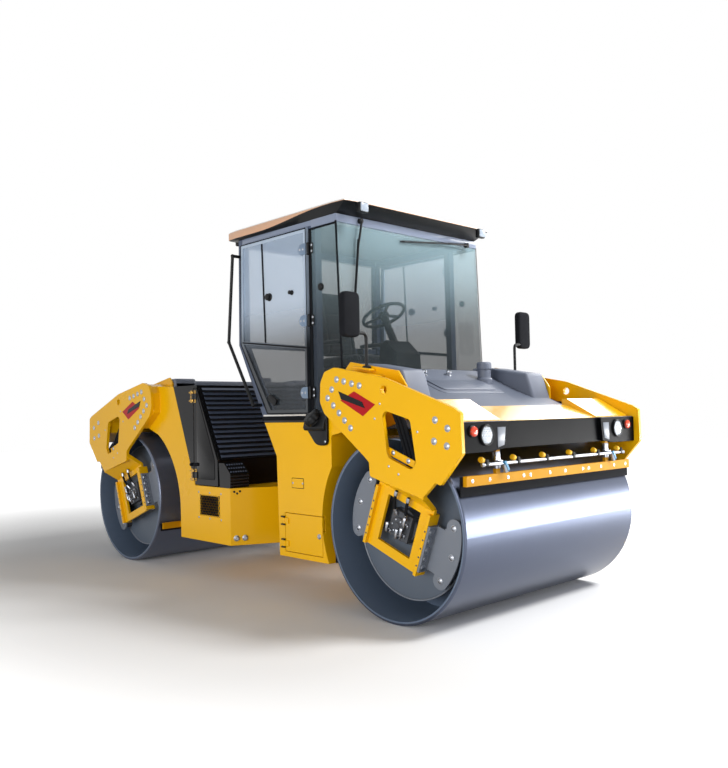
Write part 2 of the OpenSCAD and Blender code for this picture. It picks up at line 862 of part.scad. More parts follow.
// Steering console with the wheel
module console() {
  z = sill_z;
  color("dimgray") {
    side(-150, 150)
      polygon([[820, z], [1120, z], [1090, z + 520], [960, z + 640], [900, z + 600]]);
    bar(34, [960, 0, z + 560], [800, 0, z + 880]);
    translate([800, 0, z + 880])
      rotate([0, -27, 0]) {
        rotate_extrude($fn = 48)
          translate([190, 0])
            circle(r = 15, $fn = 16);
        for (a = [90, 210, 330])
          rotate([0, 0, a])
            box(0, 185, -14, 14, -6, 6);
        cylinder(r = 48, h = 30, center = true);
      }
  }
}

// Mirrors on bent stalks
module mirrors() {
  x = ax - 370;
  y = arm_in + 35;
  z = drum_d + 715;
  color("black")
    both() {
      box(x - 20, x + 20, arm_in + 15, y + 20, z - 235, z - 140);
      bar_z(12, z - 145, z + 47, x, y);
      bar_y(12, y, plate_in - 125, x, z + 35);
      side(plate_in - 130, plate_in + 40)
        polygon(rounded([[x - 45, z, 15], [x + 14, z, 15], [x + 14, z + 335, 15], [x - 45, z + 335, 15]]));
    }
}

// Work lamps at both ends of the roof
module work_lamps() {
  w = roof_w / 2;
  color("black")
    both()
      for (x = [roof_front, roof_back - 52])
        box(x, x + 52, w - 216, w - 121, roof_under - 10, roof_under + 72);
}

// Grab rails behind the doors
module grab_rails() {
  y = cab + 85;
  top = header_z - 84;
  low = sill_z + 105;
  p = [[-140, cab, top], [-140, y, top], [-215, y, knee + 29], [140, y, low], [140, cab, low]];
  color("black")
    both() {
      for (i = [0:3])
        bar(14, p[i], p[i + 1]);
      for (i = [1:3])
        translate(p[i])
          sphere(r = 17, $fn = 24);
    }
}

// Fuel filler pocket with a sloped ledge, and the tilted cap on it
module fuel_filler() {
  z = deck_z;
  foot = [1112, -body - 16, z - 32];
  color("black") {
    side(-body - 28, -body)
      polygon(rounded([[1240, z - 213, 18], [1110, z - 213, 90], [975, z - 60, 40], [1000, z, 10],
        [1080, z + 45, 10], [1240, z + 45, 10]]));
    facing(990, 1232)
      polygon([[-body, z - 100], [-body - 44, z - 100], [-body - 56, z - 76], [-body - 22, z + 35],
        [-body, z + 40]]);
    intersection() {
      bar(78, foot, foot + 84 * unit([-0.33, -0.62, 0.71]));
      box(900, 1300, -body - 200, -body, z - 200, z + 200);
    }
  }
}

module front_yokes() {
  color("gold")
    yokes();
}

module front_crossbeam() {
  color("gold")
    crossbeam();
}

module front_bumper() {
  color("dimgray")
    bumper();
}

module front_lamps() {
  color("white")
    lamps();
}

module front_spray_bar() {
  color("silver")
    spray_bar();
}

module front_scraper() {
  color("gold")
    scraper();
}

module front_scraper_rubber() {
  color("black")
    scraper_rubber();
}

module front_tank() {
  color("slategray")
    tank();
}

module front_carriers() {
  color("gray")
    carriers();
}

module front_mounts() {
  color("dimgray")
    mounts();
}

module front_hoses() {
  color("black")
    hoses();
}

module front_drum() {
  color("silver")
    drum();
}

module rear_yokes() {
  color("gold")
    rear()
      yokes();
}

module rear_crossbeam() {
  color("gold")
    rear()
      crossbeam();
}

module rear_bumper() {
  color("dimgray")
    rear()
      bumper();
}

module rear_lamps() {
  color("red")
    rear()
      lamps();
}

module rear_spray_bar() {
  color("silver")
    rear()
      spray_bar();
}

module rear_scraper() {
  color("gold")
    rear()
      scraper();
}

module rear_scraper_rubber() {
  color("black")
    rear()
      scraper_rubber();
}

module rear_tank() {
  color("slategray")
    rear()
      tank();
}

module rear_carriers() {
  color("gray")
    rear()
      carriers();
}

module rear_mounts() {
  color("dimgray")
    rear()
      mounts();
}

module rear_hoses() {
  color("black")
    rear()
      hoses();
}

module rear_drum() {
  color("silver")
    rear()
      drum();
}

module door_right() {
  color("slategray")
    door_frame();
}

module door_right_glass() {
  color("lightblue", 0.4)
    door_panes();
}

module door_left() {
  color("slategray")
    mirror([0, 1, 0])
      door_frame();
}

module door_left_glass() {
  color("lightblue", 0.4)
    mirror([0, 1, 0])
      door_panes();
}

module hatch_right() {
  color("gold")
    locker_hatch();
}

module hatch_left() {
  color("gold")
    mirror([0, 1, 0])
      locker_hatch();
}

module steer_barrel_right() {
  color("black")
    barrel();
}

module steer_barrel_left() {
  color("black")
    mirror([0, 1, 0])
      barrel();
}

module steer_rod_right() {
  color("silver")
    rod();
}

module steer_rod_left() {
  color("silver")
    mirror([0, 1, 0])
      rod();
}

module engine_door_right() {
  color("black")
    engine_door();
}

module engine_door_left() {
  color("black")
    mirror([0, 1, 0])
      engine_door();
}

front_frame();
front_yokes();
front_crossbeam();
front_bumper();
front_lamps();
front_spray_bar();
front_scraper();
front_scraper_rubber();
front_tank();
front_carriers();
front_mounts();
front_hoses();
front_drum();
cab_floor();
cab_frame();
cab_roof();
cab_glass();
cab_hinges();
seat_base();
seat_cushions();
console();
mirrors();
work_lamps();
grab_rails();
fuel_filler();
door_right();
door_right_glass();
door_left();
door_left_glass();
hatch_right();
hatch_left();
hitch();
steer_barrel_right();
steer_barrel_left();
steer_rod_right();
steer_rod_left();
rear_frame();
rear_yokes();
rear_crossbeam();
rear_bumper();
rear_lamps();
rear_spray_bar();
rear_scraper();
rear_scraper_rubber();
rear_tank();
rear_carriers();
rear_mounts();
rear_hoses();
rear_drum();
engine();
hood();
grille();
steps();
hood_hinges();
engine_door_right();
engine_door_left();
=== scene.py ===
"""Looks of an articulated tandem road roller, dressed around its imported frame."""
import json
import math

import bmesh
import bpy
from mathutils import Euler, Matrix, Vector


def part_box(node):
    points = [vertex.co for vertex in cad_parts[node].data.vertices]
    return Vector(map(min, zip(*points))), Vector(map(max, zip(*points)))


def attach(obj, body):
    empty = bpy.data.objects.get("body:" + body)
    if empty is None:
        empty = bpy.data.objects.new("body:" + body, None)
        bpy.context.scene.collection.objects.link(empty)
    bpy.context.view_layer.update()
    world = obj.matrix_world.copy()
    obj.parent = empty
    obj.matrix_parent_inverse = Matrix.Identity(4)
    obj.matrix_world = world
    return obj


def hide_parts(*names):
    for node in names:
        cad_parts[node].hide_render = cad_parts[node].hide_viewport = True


bl_info = {
    "name": "Tandem road roller",
    "version": (1, 0, 0),
    "blender": (4, 5, 0),
    "location": "View3D > Sidebar > Roller",
    "description": "Finishes and fittings of an articulated tandem road roller",
    "category": "Add Mesh",
}

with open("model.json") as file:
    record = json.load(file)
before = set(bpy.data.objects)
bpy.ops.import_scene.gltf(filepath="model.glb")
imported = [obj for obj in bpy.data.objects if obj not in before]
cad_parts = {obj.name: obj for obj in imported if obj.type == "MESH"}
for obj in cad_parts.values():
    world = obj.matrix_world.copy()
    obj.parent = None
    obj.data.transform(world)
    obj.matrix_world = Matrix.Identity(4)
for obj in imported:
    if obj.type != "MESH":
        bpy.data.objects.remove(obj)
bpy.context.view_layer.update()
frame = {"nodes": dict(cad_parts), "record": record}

# Driving places, read from the frame: metres, X forward, Y left, Z up
DRUM_LOW, DRUM_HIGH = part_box("front_drum")
AXLE_X = (DRUM_LOW.x + DRUM_HIGH.x) / 2
AXLE_Z = (DRUM_LOW.z + DRUM_HIGH.z) / 2
DRUM_R = (DRUM_HIGH.z - DRUM_LOW.z) / 2
DRUM_TOP = DRUM_HIGH.z
DRUM_END = DRUM_HIGH.y
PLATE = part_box("front_yokes")[1].y
PLATE_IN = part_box("front_crossbeam")[1].y
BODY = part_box("hood")[1].y
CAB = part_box("cab_frame")[1].y
GLASS_LOW, GLASS_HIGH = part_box("cab_glass")
BUMPER_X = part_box("front_bumper")[0].x
POD_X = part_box("front_bumper")[1].x
SILL_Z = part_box("cab_frame")[0].z
HINGE_X, HINGE_Y = next(joint["pos_m"][:2] for joint in frame["record"]["behaviour"]["joints"]
                        if joint["name"] == "door_left_swing")
LEG_TILT = math.radians(20)
FRONT, REAR = "front_frame", "rear_frame"
SIDES = (-1, 1)
HANDS = ((-1, "right"), (1, "left"))
ENDS = ((1, "front"), (-1, "rear"))
ALONG, UP = (1, 0, 0), (0, 0, 1)


def linear(code):
    """Linear colour of an sRGB hex code."""
    parts = [int(code[i:i + 2], 16) / 255 for i in (1, 3, 5)]
    return [p / 12.92 if p <= 0.04045 else ((p + 0.055) / 1.055) ** 2.4 for p in parts] + [1.0]


def colour_property(name, description, code):
    """Colour that a user can change, with its sRGB default."""
    return bpy.props.FloatVectorProperty(
        name=name, description=description, subtype="COLOR", size=4, min=0, max=1, default=linear(code))


def length_property(name, description, default):
    """Length in metres that a user can change."""
    return bpy.props.FloatProperty(
        name=name, description=description, subtype="DISTANCE", unit="LENGTH", min=0, default=default)


class RollerColours(bpy.types.PropertyGroup):
    """Colours of the finishes"""
    yellow: colour_property("Yellow", "Enamel of the frames and yokes", "#F2B705")
    charcoal: colour_property("Charcoal", "Paint of the cab floor and the step ribs", "#26272B")
    black: colour_property("Black", "Gloss enamel of the hood, doors and steps", "#121214")
    grey: colour_property("Grey", "Paint of the crescents and disc rims", "#767C86")
    drum_paint: colour_property("Drum paint", "Paint inside the drums", "#5C6B80")
    drum_steel: colour_property("Drum steel", "Rolled face of the drums", "#5E6577")
    tank: colour_property("Tank", "Moulded sprinkler tanks", "#666D7D")
    roof_side: colour_property("Roof side", "Side of the roof moulding", "#D6A683")
    plates: colour_property("Hinge plates", "Paint of the door hinge plates", "#7488A0")
    # On the louvres this blue-grey is a painted reflection of the sky on the black grille
    blade: colour_property("Blades", "Louvre blades and step treads", "#566074")
    disc: colour_property("Disc", "Paint of the drive discs", "#5C6673")
    cell: colour_property("Lamp cells", "Reflector cells of the lamps", "#A3AEBC")
    bumper: colour_property("Bumper", "Powder coat of the bumpers", "#0B0C0E")
    post: colour_property("Posts", "Paint of the cab posts", "#46526A")
    # Colour of the door frames at their top, pale as a painted reflection of the sky like the panes, and dark
    # below
    edge: colour_property("Pane edge", "Printed edge of the door panes at their top", "#A9B9CC")
    # The scraper bars wear the frame yellow; this darker copy is painted shade against the extra lamp light
    # they catch
    bar: colour_property("Bars", "Enamel of the scraper bars", "#C88D06")
    badge: colour_property("Badge", "Red film of the blank badges", "#B01018")
    valve: colour_property("Valve", "Levers of the spray valves", "#2E7FA8")
    band: colour_property("Band", "Header band over the panes", "#8590A6")
    roof_top: colour_property("Roof top", "Top of the roof moulding", "#ECE9E4")
    # The pane colours are pale at the top as a painted reflection of the sky
    glass: colour_property("Glass", "Tint of the door panes at their top", "#CDE1F8")
    screen: colour_property("Screen", "Tint of the windscreen and fixed panes at their top", "#A6C4CE")
    plastic: colour_property("Plastic", "Black moulded parts", "#131416")
    rubber: colour_property("Rubber", "Hoses, blades and seals", "#16171A")
    zinc: colour_property("Zinc", "Plated bolts, pipes and fittings", "#A9ADB5")
    gold: colour_property("Gold", "Yellow chromated hinges and eyes", "#B9924A")
    iron: colour_property("Iron", "Cast hitch and engine", "#4B4E54")
    fabric: colour_property("Fabric", "Woven seat cover", "#2A2D33")
    amber: colour_property("Amber", "Lens of the indicators", "#D8401C")
    red: colour_property("Red", "Lens of the tail lamps", "#B3161A")
    floor: colour_property("Floor", "Studio floor", "#EDEDED")


class RollerSizes(bpy.types.PropertyGroup):
    """Sizes of the fittings"""
    bolt: length_property("Plate bolt", "Flange diameter of a plate bolt", 0.048)
    screw: length_property("Screw", "Flange diameter of a small screw", 0.020)
    headlamp: length_property("Headlamp", "Diameter of a headlamp lens", 0.140)
    cell: length_property("Lens cell", "Pitch of the cells behind a headlamp lens", 0.017)
    nozzle: length_property("Nozzle", "Diameter of a spray nozzle cap", 0.040)


def add(tree, kind, inputs=None, **settings):
    """New node with its settings, input values and links."""
    node = tree.nodes.new(kind)
    for name, value in settings.items():
        setattr(node, name, value)
    for name, value in (inputs or {}).items():
        if isinstance(value, bpy.types.NodeSocket):
            tree.links.new(value, node.inputs[name])
        else:
            node.inputs[name].default_value = value
    return node


def start(name, colour, roughness, **values):
    """New material with a principled shader, and its object coordinates."""
    material = bpy.data.materials.new(name)
    material.use_nodes = True
    tree = material.node_tree
    tree.nodes.clear()
    names = {key.replace("_", " ").title().replace("Ior", "IOR"): value for key, value in values.items()}
    shader = add(tree, "ShaderNodeBsdfPrincipled",
                 {"Base Color": colour, "Roughness": roughness, **names})
    add(tree, "ShaderNodeOutputMaterial", {"Surface": shader.outputs[0]})
    place = add(tree, "ShaderNodeTexCoord").outputs["Object"]
    return material, tree, shader, place


def patches(tree, shader, place, size_mm, tones, roughness):
    """Slow change of colour and roughness over patches of a real size."""
    noise = add(tree, "ShaderNodeTexNoise", {"Vector": place, "Scale": 1000 / size_mm, "Detail": 4})
    tone = add(tree, "ShaderNodeMix", {0: noise.outputs[0], 6: tones[0], 7: tones[1]}, data_type="RGBA")
    rough = add(tree, "ShaderNodeMapRange",
                {"Value": noise.outputs[0], "To Min": roughness[0], "To Max": roughness[1]})
    tree.links.new(tone.outputs[2], shader.inputs["Base Color"])
    tree.links.new(rough.outputs[0], shader.inputs["Roughness"])


def grain(tree, shader, place, size_mm, height_mm, edge_mm=0):
    """Bumps of a real size and height, over edges rounded by a real radius."""
    noise = add(tree, "ShaderNodeTexNoise", {"Vector": place, "Scale": 1000 / size_mm, "Detail": 2})
    bump = add(tree, "ShaderNodeBump", {"Height": noise.outputs[0], "Distance": height_mm / 1000})
    if edge_mm:
        edge = add(tree, "ShaderNodeBevel", {"Radius": edge_mm / 1000}, samples=4)
        tree.links.new(edge.outputs[0], bump.inputs["Normal"])
    tree.links.new(bump.outputs[0], shader.inputs["Normal"])


def darker(colour, share):
    """Colour scaled down by a share."""
    return [c * (1 - share) for c in colour[:3]] + [1.0]


def coated(name, tones, roughness, patch_mm, spread, bumps, **values):
    """Material of two tones in patches, over bumps given as size, height and edge radius in mm."""
    material, tree, shader, place = start(name, tones[1], roughness, **values)
    patches(tree, shader, place, patch_mm, tones, spread)
    grain(tree, shader, place, *bumps)
    return material


def enamel(name, colour, spread=(0.24, 0.34), edge_mm=5, coat=0.15, specular=0.3):
    """Two-pack enamel sprayed on steel plate: gloss with faint orange peel, drawn coarse to show."""
    return coated(name, (darker(colour, 0.10), colour), 0.28, 420, spread, (22, 0.10, edge_mm),
                  specular_ior_level=specular, coat_weight=coat, coat_roughness=0.12)


def moulding(name, colour, spread=(0.42, 0.55), edge_mm=6, specular=0.5):
    """Rotation or injection moulded plastic: satin, with a fine leathery grain, drawn coarse to show."""
    return coated(name, (darker(colour, 0.14), colour), 0.5, 260, spread, (7, 0.12, edge_mm),
                  ior=1.49, specular_ior_level=specular)


def plated(name, colour, spread=(0.22, 0.36)):
    """Zinc plated steel: bright metal with a cloudy passivated film."""
    return coated(name, (darker(colour, 0.15), colour), 0.3, 30, spread, (12, 0.05, 2), metallic=1.0)


def vulcanised(name, colour):
    """Vulcanised rubber: dull black with a dusty bloom, which is paler than the rubber."""
    material, tree, shader, place = start(name, colour, 0.7, ior=1.52, specular_ior_level=0.03)
    patches(tree, shader, place, 90, (colour, darker(colour, -0.8)), (0.58, 0.78))
    grain(tree, shader, place, 9, 0.10, 3)
    return material


def cast(name, colour):
    """Sand cast iron under thin paint: rough skin."""
    return coated(name, (darker(colour, 0.25), colour), 0.55, 120, (0.45, 0.65), (10, 0.5, 5), metallic=0.3)


def gel_coat(name, colour):
    """Glass fibre with a gel coat: smooth gloss with the faint print of the mat, drawn at 45 mm."""
    return coated(name, (darker(colour, 0.08), colour), 0.3, 500, (0.25, 0.35), (45, 0.15),
                  coat_weight=0.3, coat_roughness=0.1)


def drum_shell(name, colours, axle, polish):
    """Drum: rolled steel turned bright outside, painted inside, told apart by the distance to the axle."""
    steel = colours.drum_steel
    material, tree, shader, place = start(name, steel, 0.3)
    ring = add(tree, "ShaderNodeVectorMath", {0: place, 1: axle}, operation="SUBTRACT")
    flat = add(tree, "ShaderNodeVectorMath", {0: ring.outputs[0], 1: (1, 0, 1)}, operation="MULTIPLY")
    radius = add(tree, "ShaderNodeVectorMath", {0: flat.outputs[0]}, operation="LENGTH")
    outside = add(tree, "ShaderNodeMapRange", {"Value": radius.outputs["Value"],
                                               "From Min": DRUM_R - 0.020, "From Max": DRUM_R - 0.014})
    # Rolling leaves fine marks round the drum, so the pattern is stretched along the rim: 6 mm wide bands
    streak_place = add(tree, "ShaderNodeMapping", {"Vector": place, "Scale": (0.6, 160, 0.6)})
    streak = add(tree, "ShaderNodeTexNoise", {"Vector": streak_place.outputs[0], "Scale": 1, "Detail": 3})
    bright = add(tree, "ShaderNodeMix", {0: streak.outputs[0], 6: darker(steel, 0.08), 7: steel},
                 data_type="RGBA")
    tone = add(tree, "ShaderNodeMix", {0: outside.outputs[0], 6: colours.drum_paint, 7: bright.outputs[2]},
               data_type="RGBA")
    worn = add(tree, "ShaderNodeMapRange", {"Value": streak.outputs[0], "To Min": 0.29, "To Max": 0.33})
    rough = add(tree, "ShaderNodeMix", {0: outside.outputs[0], 2: 0.45, 3: worn.outputs[0]})
    metal = add(tree, "ShaderNodeMath", {0: outside.outputs[0], 1: polish}, operation="MULTIPLY")
    tree.links.new(tone.outputs[2], shader.inputs["Base Color"])
    tree.links.new(rough.outputs[0], shader.inputs["Roughness"])
    tree.links.new(metal.outputs[0], shader.inputs["Metallic"])
    grain(tree, shader, place, 60, 0.04, 6)
    return material


def tinted_glass_with_painted_reflection(name, colour, alpha, shade, specular=0.5):
    """Float glass: clear and hard, with its colour graded between two heights over the sill, from smoky below
    to pale above, where the pale is a painted reflection of the sky.
    """
    material, tree, shader, place = start(name, colour, 0.04, ior=1.52, alpha=alpha,
                                          specular_ior_level=specular)
    haze = add(tree, "ShaderNodeTexNoise", {"Vector": place, "Scale": 1000 / 700, "Detail": 2})
    height = add(tree, "ShaderNodeSeparateXYZ", {0: place})
    graded = add(tree, "ShaderNodeMapRange", {"Value": height.outputs["Z"], "From Min": SILL_Z + shade[0],
                                              "From Max": SILL_Z + shade[1]}, interpolation_type="SMOOTHSTEP")
    cloud = add(tree, "ShaderNodeMath", {0: haze.outputs[0], 1: 0.25, 2: -0.125}, operation="MULTIPLY_ADD")
    share = add(tree, "ShaderNodeMath", {0: graded.outputs[0], 1: cloud.outputs[0]}, operation="ADD",
                use_clamp=True)
    # Smoky colour below, and a pale painted sky reflection above
    tint_and_painted_reflection = add(tree, "ShaderNodeMix", {0: share.outputs[0], 6: darker(colour, 0.94), 7: colour},
               data_type="RGBA")
    tree.links.new(tint_and_painted_reflection.outputs[2], shader.inputs["Base Color"])
    return material


def clear_lens(name, colour, alpha):
    """Polycarbonate lens: glossy and see-through, moulded in 9 mm facets."""
    material, tree, shader, place = start(name, colour, 0.08, ior=1.58, alpha=alpha)
    ripple = add(tree, "ShaderNodeTexVoronoi", {"Vector": place, "Scale": 1000 / 9})
    bump = add(tree, "ShaderNodeBump", {"Height": ripple.outputs[0], "Distance": 0.0012})
    tree.links.new(bump.outputs[0], shader.inputs["Normal"])
    return material


def woven_cover(name, colour):
    """Woven polyester seat cover: crossed threads, drawn at 6 mm so that they show, with a soft sheen."""
    material, tree, shader, place = start(name, colour, 0.85, sheen_weight=0.35, sheen_roughness=0.5)
    # A wave texture has 20 bands to a unit at scale 1
    warp, weft = [add(tree, "ShaderNodeTexWave", {"Vector": place, "Scale": 1000 / 6 / 20},
                      bands_direction=axis) for axis in "YZ"]
    cross = add(tree, "ShaderNodeMath", {0: warp.outputs["Fac"], 1: weft.outputs["Fac"]},
                operation="MULTIPLY")
    tone = add(tree, "ShaderNodeMix", {0: cross.outputs[0], 6: darker(colour, 0.35), 7: colour},
               data_type="RGBA")
    bump = add(tree, "ShaderNodeBump", {"Height": cross.outputs[0], "Distance": 0.0012})
    tree.links.new(tone.outputs[2], shader.inputs["Base Color"])
    tree.links.new(bump.outputs[0], shader.inputs["Normal"])
    return material


def make_finishes(colours):
    """All the materials by the name of their finish."""
    return {
        "yellow": enamel("yellow_enamel", colours.yellow, coat=0.10, specular=0.2),
        "charcoal": enamel("charcoal_enamel", colours.charcoal, (0.34, 0.46)),
        "black": enamel("black_gloss_enamel", colours.black, (0.10, 0.18), coat=0.0, specular=0.2),
        "grey": enamel("grey_enamel", colours.grey, (0.36, 0.48)),
        "front_drum": drum_shell("front_drum_steel", colours, (AXLE_X, 0, AXLE_Z), 1.0),
        "rear_drum": drum_shell("rear_drum_steel", colours, (-AXLE_X, 0, AXLE_Z), 0.45),
        "tank": moulding("moulded_polyethylene", colours.tank),
        "plastic": moulding("moulded_abs", colours.plastic, (0.34, 0.48), specular=0.2),
        "roof_side": gel_coat("tan_gel_coat", colours.roof_side),
        "roof_top": gel_coat("pale_gel_coat", colours.roof_top),
        "grey_blue": enamel("grey_blue_enamel", colours.plates, (0.3, 0.4), 3),
        "blade": enamel("blue_grey_satin_and_painted_reflection", colours.blade, (0.28, 0.38), 2),
        "red_film": moulding("red_vinyl_film", colours.badge, (0.3, 0.4), 0, 0.2),
        "band": enamel("blue_grey_enamel", colours.band, (0.12, 0.2), 3),
        # Panes and door frames are graded up to a painted sky reflection at their top
        "glass": tinted_glass_with_painted_reflection("float_glass_with_painted_reflection", colours.glass, 0.36, (0.49, 1.04)),
        "screen": tinted_glass_with_painted_reflection("screen_glass_with_painted_reflection", colours.screen, 0.36, (0.55, 1.75), 0.25),
        "edge": tinted_glass_with_painted_reflection("door_frame_with_painted_reflection", colours.edge, 1.0, (0.49, 1.04)),
        # Darker copy of the yellow enamel: painted shade on the scraper bars
        "bar_yellow": enamel("yellow_bar_enamel_painted_shade", colours.bar, (0.50, 0.60), coat=0.0, specular=0.1),
        "disc": enamel("blue_grey_disc_enamel", colours.disc, (0.36, 0.48)),
        "cell": enamel("vapour_coated_reflector", colours.cell, (0.2, 0.3), 0),
        "bumper": moulding("black_powder_coat", colours.bumper, (0.30, 0.40), specular=0.02),
        "post": enamel("blue_grey_post_enamel", colours.post, (0.2, 0.3)),
        "valve": moulding("moulded_blue_nylon", colours.valve),
        "gloss_yellow": enamel("yellow_clear_coat", colours.yellow, coat=1.0),
        "rubber": vulcanised("vulcanised_rubber", colours.rubber),
        "zinc": plated("zinc_plated_steel", colours.zinc),
        "gold": plated("yellow_chromated_steel", colours.gold),
        "chrome": plated("hard_chromed_rod", linear("#D5D8DC"), (0.06, 0.12)),
        "iron": cast("painted_cast_iron", colours.iron),
        "fabric": woven_cover("woven_seat_cover", colours.fabric),
        "lens": clear_lens("clear_polycarbonate", linear("#E8EEF2"), 0.25),
        "amber": clear_lens("amber_polycarbonate", colours.amber, 0.92),
        "red": clear_lens("red_polycarbonate", colours.red, 0.92),
        "yellow_cap": moulding("moulded_yellow_nylon", colours.yellow),
        "mirror": plated("silvered_mirror", linear("#E4E8EA"), (0.02, 0.05)),
    }


# Finish of each node that keeps its solid
NODE_FINISH = {
    "yellow": ("front_frame", "front_yokes", "hatch_right", "hatch_left",
               "rear_frame", "rear_yokes", "rear_crossbeam"),
    # Scraper bars take the darker yellow as painted shade
    "bar_yellow": ("front_scraper", "rear_scraper"),
    "gloss_yellow": ("front_crossbeam",),
    "charcoal": ("cab_floor",),
    "bumper": ("front_bumper", "rear_bumper"),
    "black": ("hood", "grille", "steps", "engine_door_right", "engine_door_left"),
    "post": ("cab_frame",),
    # Door frames graded like the panes, pale at the top as a painted sky reflection
    "edge": ("door_right", "door_left"),
    "grey": ("front_carriers", "rear_carriers"),
    "iron": ("front_mounts", "rear_mounts", "hitch", "engine", "steer_barrel_right", "steer_barrel_left"),
    "rubber": ("front_hoses", "rear_hoses", "front_scraper_rubber", "rear_scraper_rubber"),
    "tank": ("front_tank", "rear_tank"),
    "front_drum": ("front_drum",),
    "rear_drum": ("rear_drum",),
    "roof_side": ("cab_roof",),
    "glass": ("door_right_glass", "door_left_glass"),
    "screen": ("cab_glass",),
    "plastic": ("console", "seat_base", "seat_cushions", "mirrors", "work_lamps", "fuel_filler",
                "cab_hinges", "grab_rails", "front_lamps", "rear_lamps"),
    "zinc": ("front_spray_bar", "rear_spray_bar"),
    "gold": ("hood_hinges",),
    "chrome": ("steer_rod_right", "steer_rod_left"),
}
# Slot of the record named for a piece of each finish, unless it names another
FINISH_SLOT = {
    "zinc": "zinc_steel", "gold": "zinc_steel", "cell": "zinc_steel", "iron": "iron", "mirror": "glass",
    "plastic": "black_plastic", "valve": "black_plastic", "tank": "tank_plastic", "rubber": "rubber",
    "yellow": "yellow_paint", "yellow_cap": "yellow_paint", "band": "slate_paint", "grey_blue": "slate_paint",
    "grey": "grey_paint", "disc": "grey_paint", "roof_top": "grey_paint", "black": "black_paint",
    "blade": "black_paint", "charcoal": "black_paint", "red_film": "red_lens", "amber": "red_lens",
    "lens": "lamp_lens", "red": "lamp_lens", "fabric": "seat_fabric",
}
# Materials by finish and node trees by the function that makes them, filled by the operators
FINISHES = {}
TREES = {}


def fresh(count):
    """New meshes in the making."""
    return [bmesh.new() for number in range(count)]


def join_rows(bm, rows):
    """Walls between rows of points; a row of one point is a tip."""
    for low, high in zip(rows, rows[1:]):
        sides = max(len(low), len(high))
        for i in range(sides):
            j = (i + 1) % sides
            loop = (low[i % len(low)], low[j % len(low)], high[j % len(high)], high[i % len(high)])
            bm.faces.new(list(dict.fromkeys(loop)))


def slab(bm, ring, push):
    """Closed prism between a ring of points and the same ring pushed along a vector."""
    low = [bm.verts.new(Vector(p)) for p in ring]
    high = [bm.verts.new(Vector(p) + Vector(push)) for p in ring]
    bm.faces.new(low)
    bm.faces.new(high)
    join_rows(bm, (low, high))


def lathe(bm, profile, origin, axis, sides=32):
    """Turned solid of (radius, distance along the axis) points about an axis."""
    turn = Vector(axis).to_track_quat("Z", "Y")
    rows = []
    for radius, along in profile:
        count = sides if radius else 1
        angles = [2 * math.pi * i / count for i in range(count)]
        rows.append([bm.verts.new(Vector(origin) + turn @ Vector(
            (radius * math.cos(a), radius * math.sin(a), along))) for a in angles])
    join_rows(bm, rows)


def fillet(points, radius, closed=False, steps=5):
    """Polyline whose corners are rounded by a curve that starts a radius before each corner."""
    points = [Vector(p) for p in points]
    count = len(points)
    made = []
    for i, corner in enumerate(points):
        if not closed and i in (0, count - 1):
            made.append(corner)
            continue
        before, after = points[i - 1] - corner, points[(i + 1) % count] - corner
        reach = min(radius, before.length * 0.45, after.length * 0.45)
        a, b = corner + before.normalized() * reach, corner + after.normalized() * reach
        for k in range(steps + 1):
            t = k / steps
            made.append(a * (1 - t) ** 2 + corner * 2 * t * (1 - t) + b * t ** 2)
    return made


def tube(bm, points, radius, sides=12):
    """Round rod along a polyline, closed at both ends."""
    points = [Vector(p) for p in points]
    side = (points[1] - points[0]).orthogonal().normalized()
    angles = [2 * math.pi * k / sides for k in range(sides)]
    rows = []
    for i, point in enumerate(points):
        ahead = (points[min(i + 1, len(points) - 1)] - points[max(i - 1, 0)]).normalized()
        side = (side - ahead * side.dot(ahead)).normalized()
        up = ahead.cross(side)
        rows.append([bm.verts.new(point + (side * math.cos(a) + up * math.sin(a)) * radius) for a in angles])
    join_rows(bm, rows)
    bm.faces.new(rows[0])
    bm.faces.new(rows[-1])


def block(bm, low, high):
    """Box between two corners."""
    ring = [(low[0], low[1], low[2]), (high[0], low[1], low[2]), (high[0], high[1], low[2]),
            (low[0], high[1], low[2])]
    slab(bm, ring, (0, 0, high[2] - low[2]))


def strip(bm, points, width, lift):
    """Flat band along a polyline, raised by a vector from the surface that it lies on."""
    points = [Vector(p) for p in points]
    lift = Vector(lift)
    for a, b in zip(points, points[1:]):
        ahead = (b - a).normalized() * width / 2
        across = ahead.cross(lift).normalized() * width / 2
        slab(bm, [a - ahead - across, b + ahead - across, b + ahead + across, a - ahead + across], lift)


def oval(bm, centre, half_u, half_v, lift, corner=0.9, axis_u=ALONG, axis_v=UP):
    """Plate with rounded corners about a centre, raised by a vector."""
    u, v = Vector(axis_u) * half_u, Vector(axis_v) * half_v
    centre = Vector(centre)
    ring = fillet([centre - u - v, centre + u - v, centre + u + v, centre - u + v],
                  min(half_u, half_v) * corner, closed=True)
    slab(bm, ring, lift)


def soften(bm, width, segments=2):
    """Rounds every edge that is sharper than about 30 degrees."""
    bmesh.ops.recalc_face_normals(bm, faces=bm.faces[:])
    sharp = [e for e in bm.edges if len(e.link_faces) == 2 and e.calc_face_angle() > 0.5]
    bmesh.ops.bevel(bm, geom=sharp, offset=width, segments=segments, profile=0.5, affect="EDGES",
                    clamp_overlap=True)


def at_y(points, y, lift=0):
    """Points of X and Z set at a distance Y and raised."""
    return [(x, y, z + lift) for x, z in points]


def corner_point(end, side, x, y, z):
    """Point at one corner of the machine: X from the drum axis, Y from the middle, Z from the drum top."""
    return Vector((end * (AXLE_X + x), side * y, DRUM_TOP + z))


def corner_ring(points, end, side, y):
    """Points of X from a drum axis and Z from the drum top, at one corner of the machine."""
    return [corner_point(end, side, x, y, z) for x, z in points]


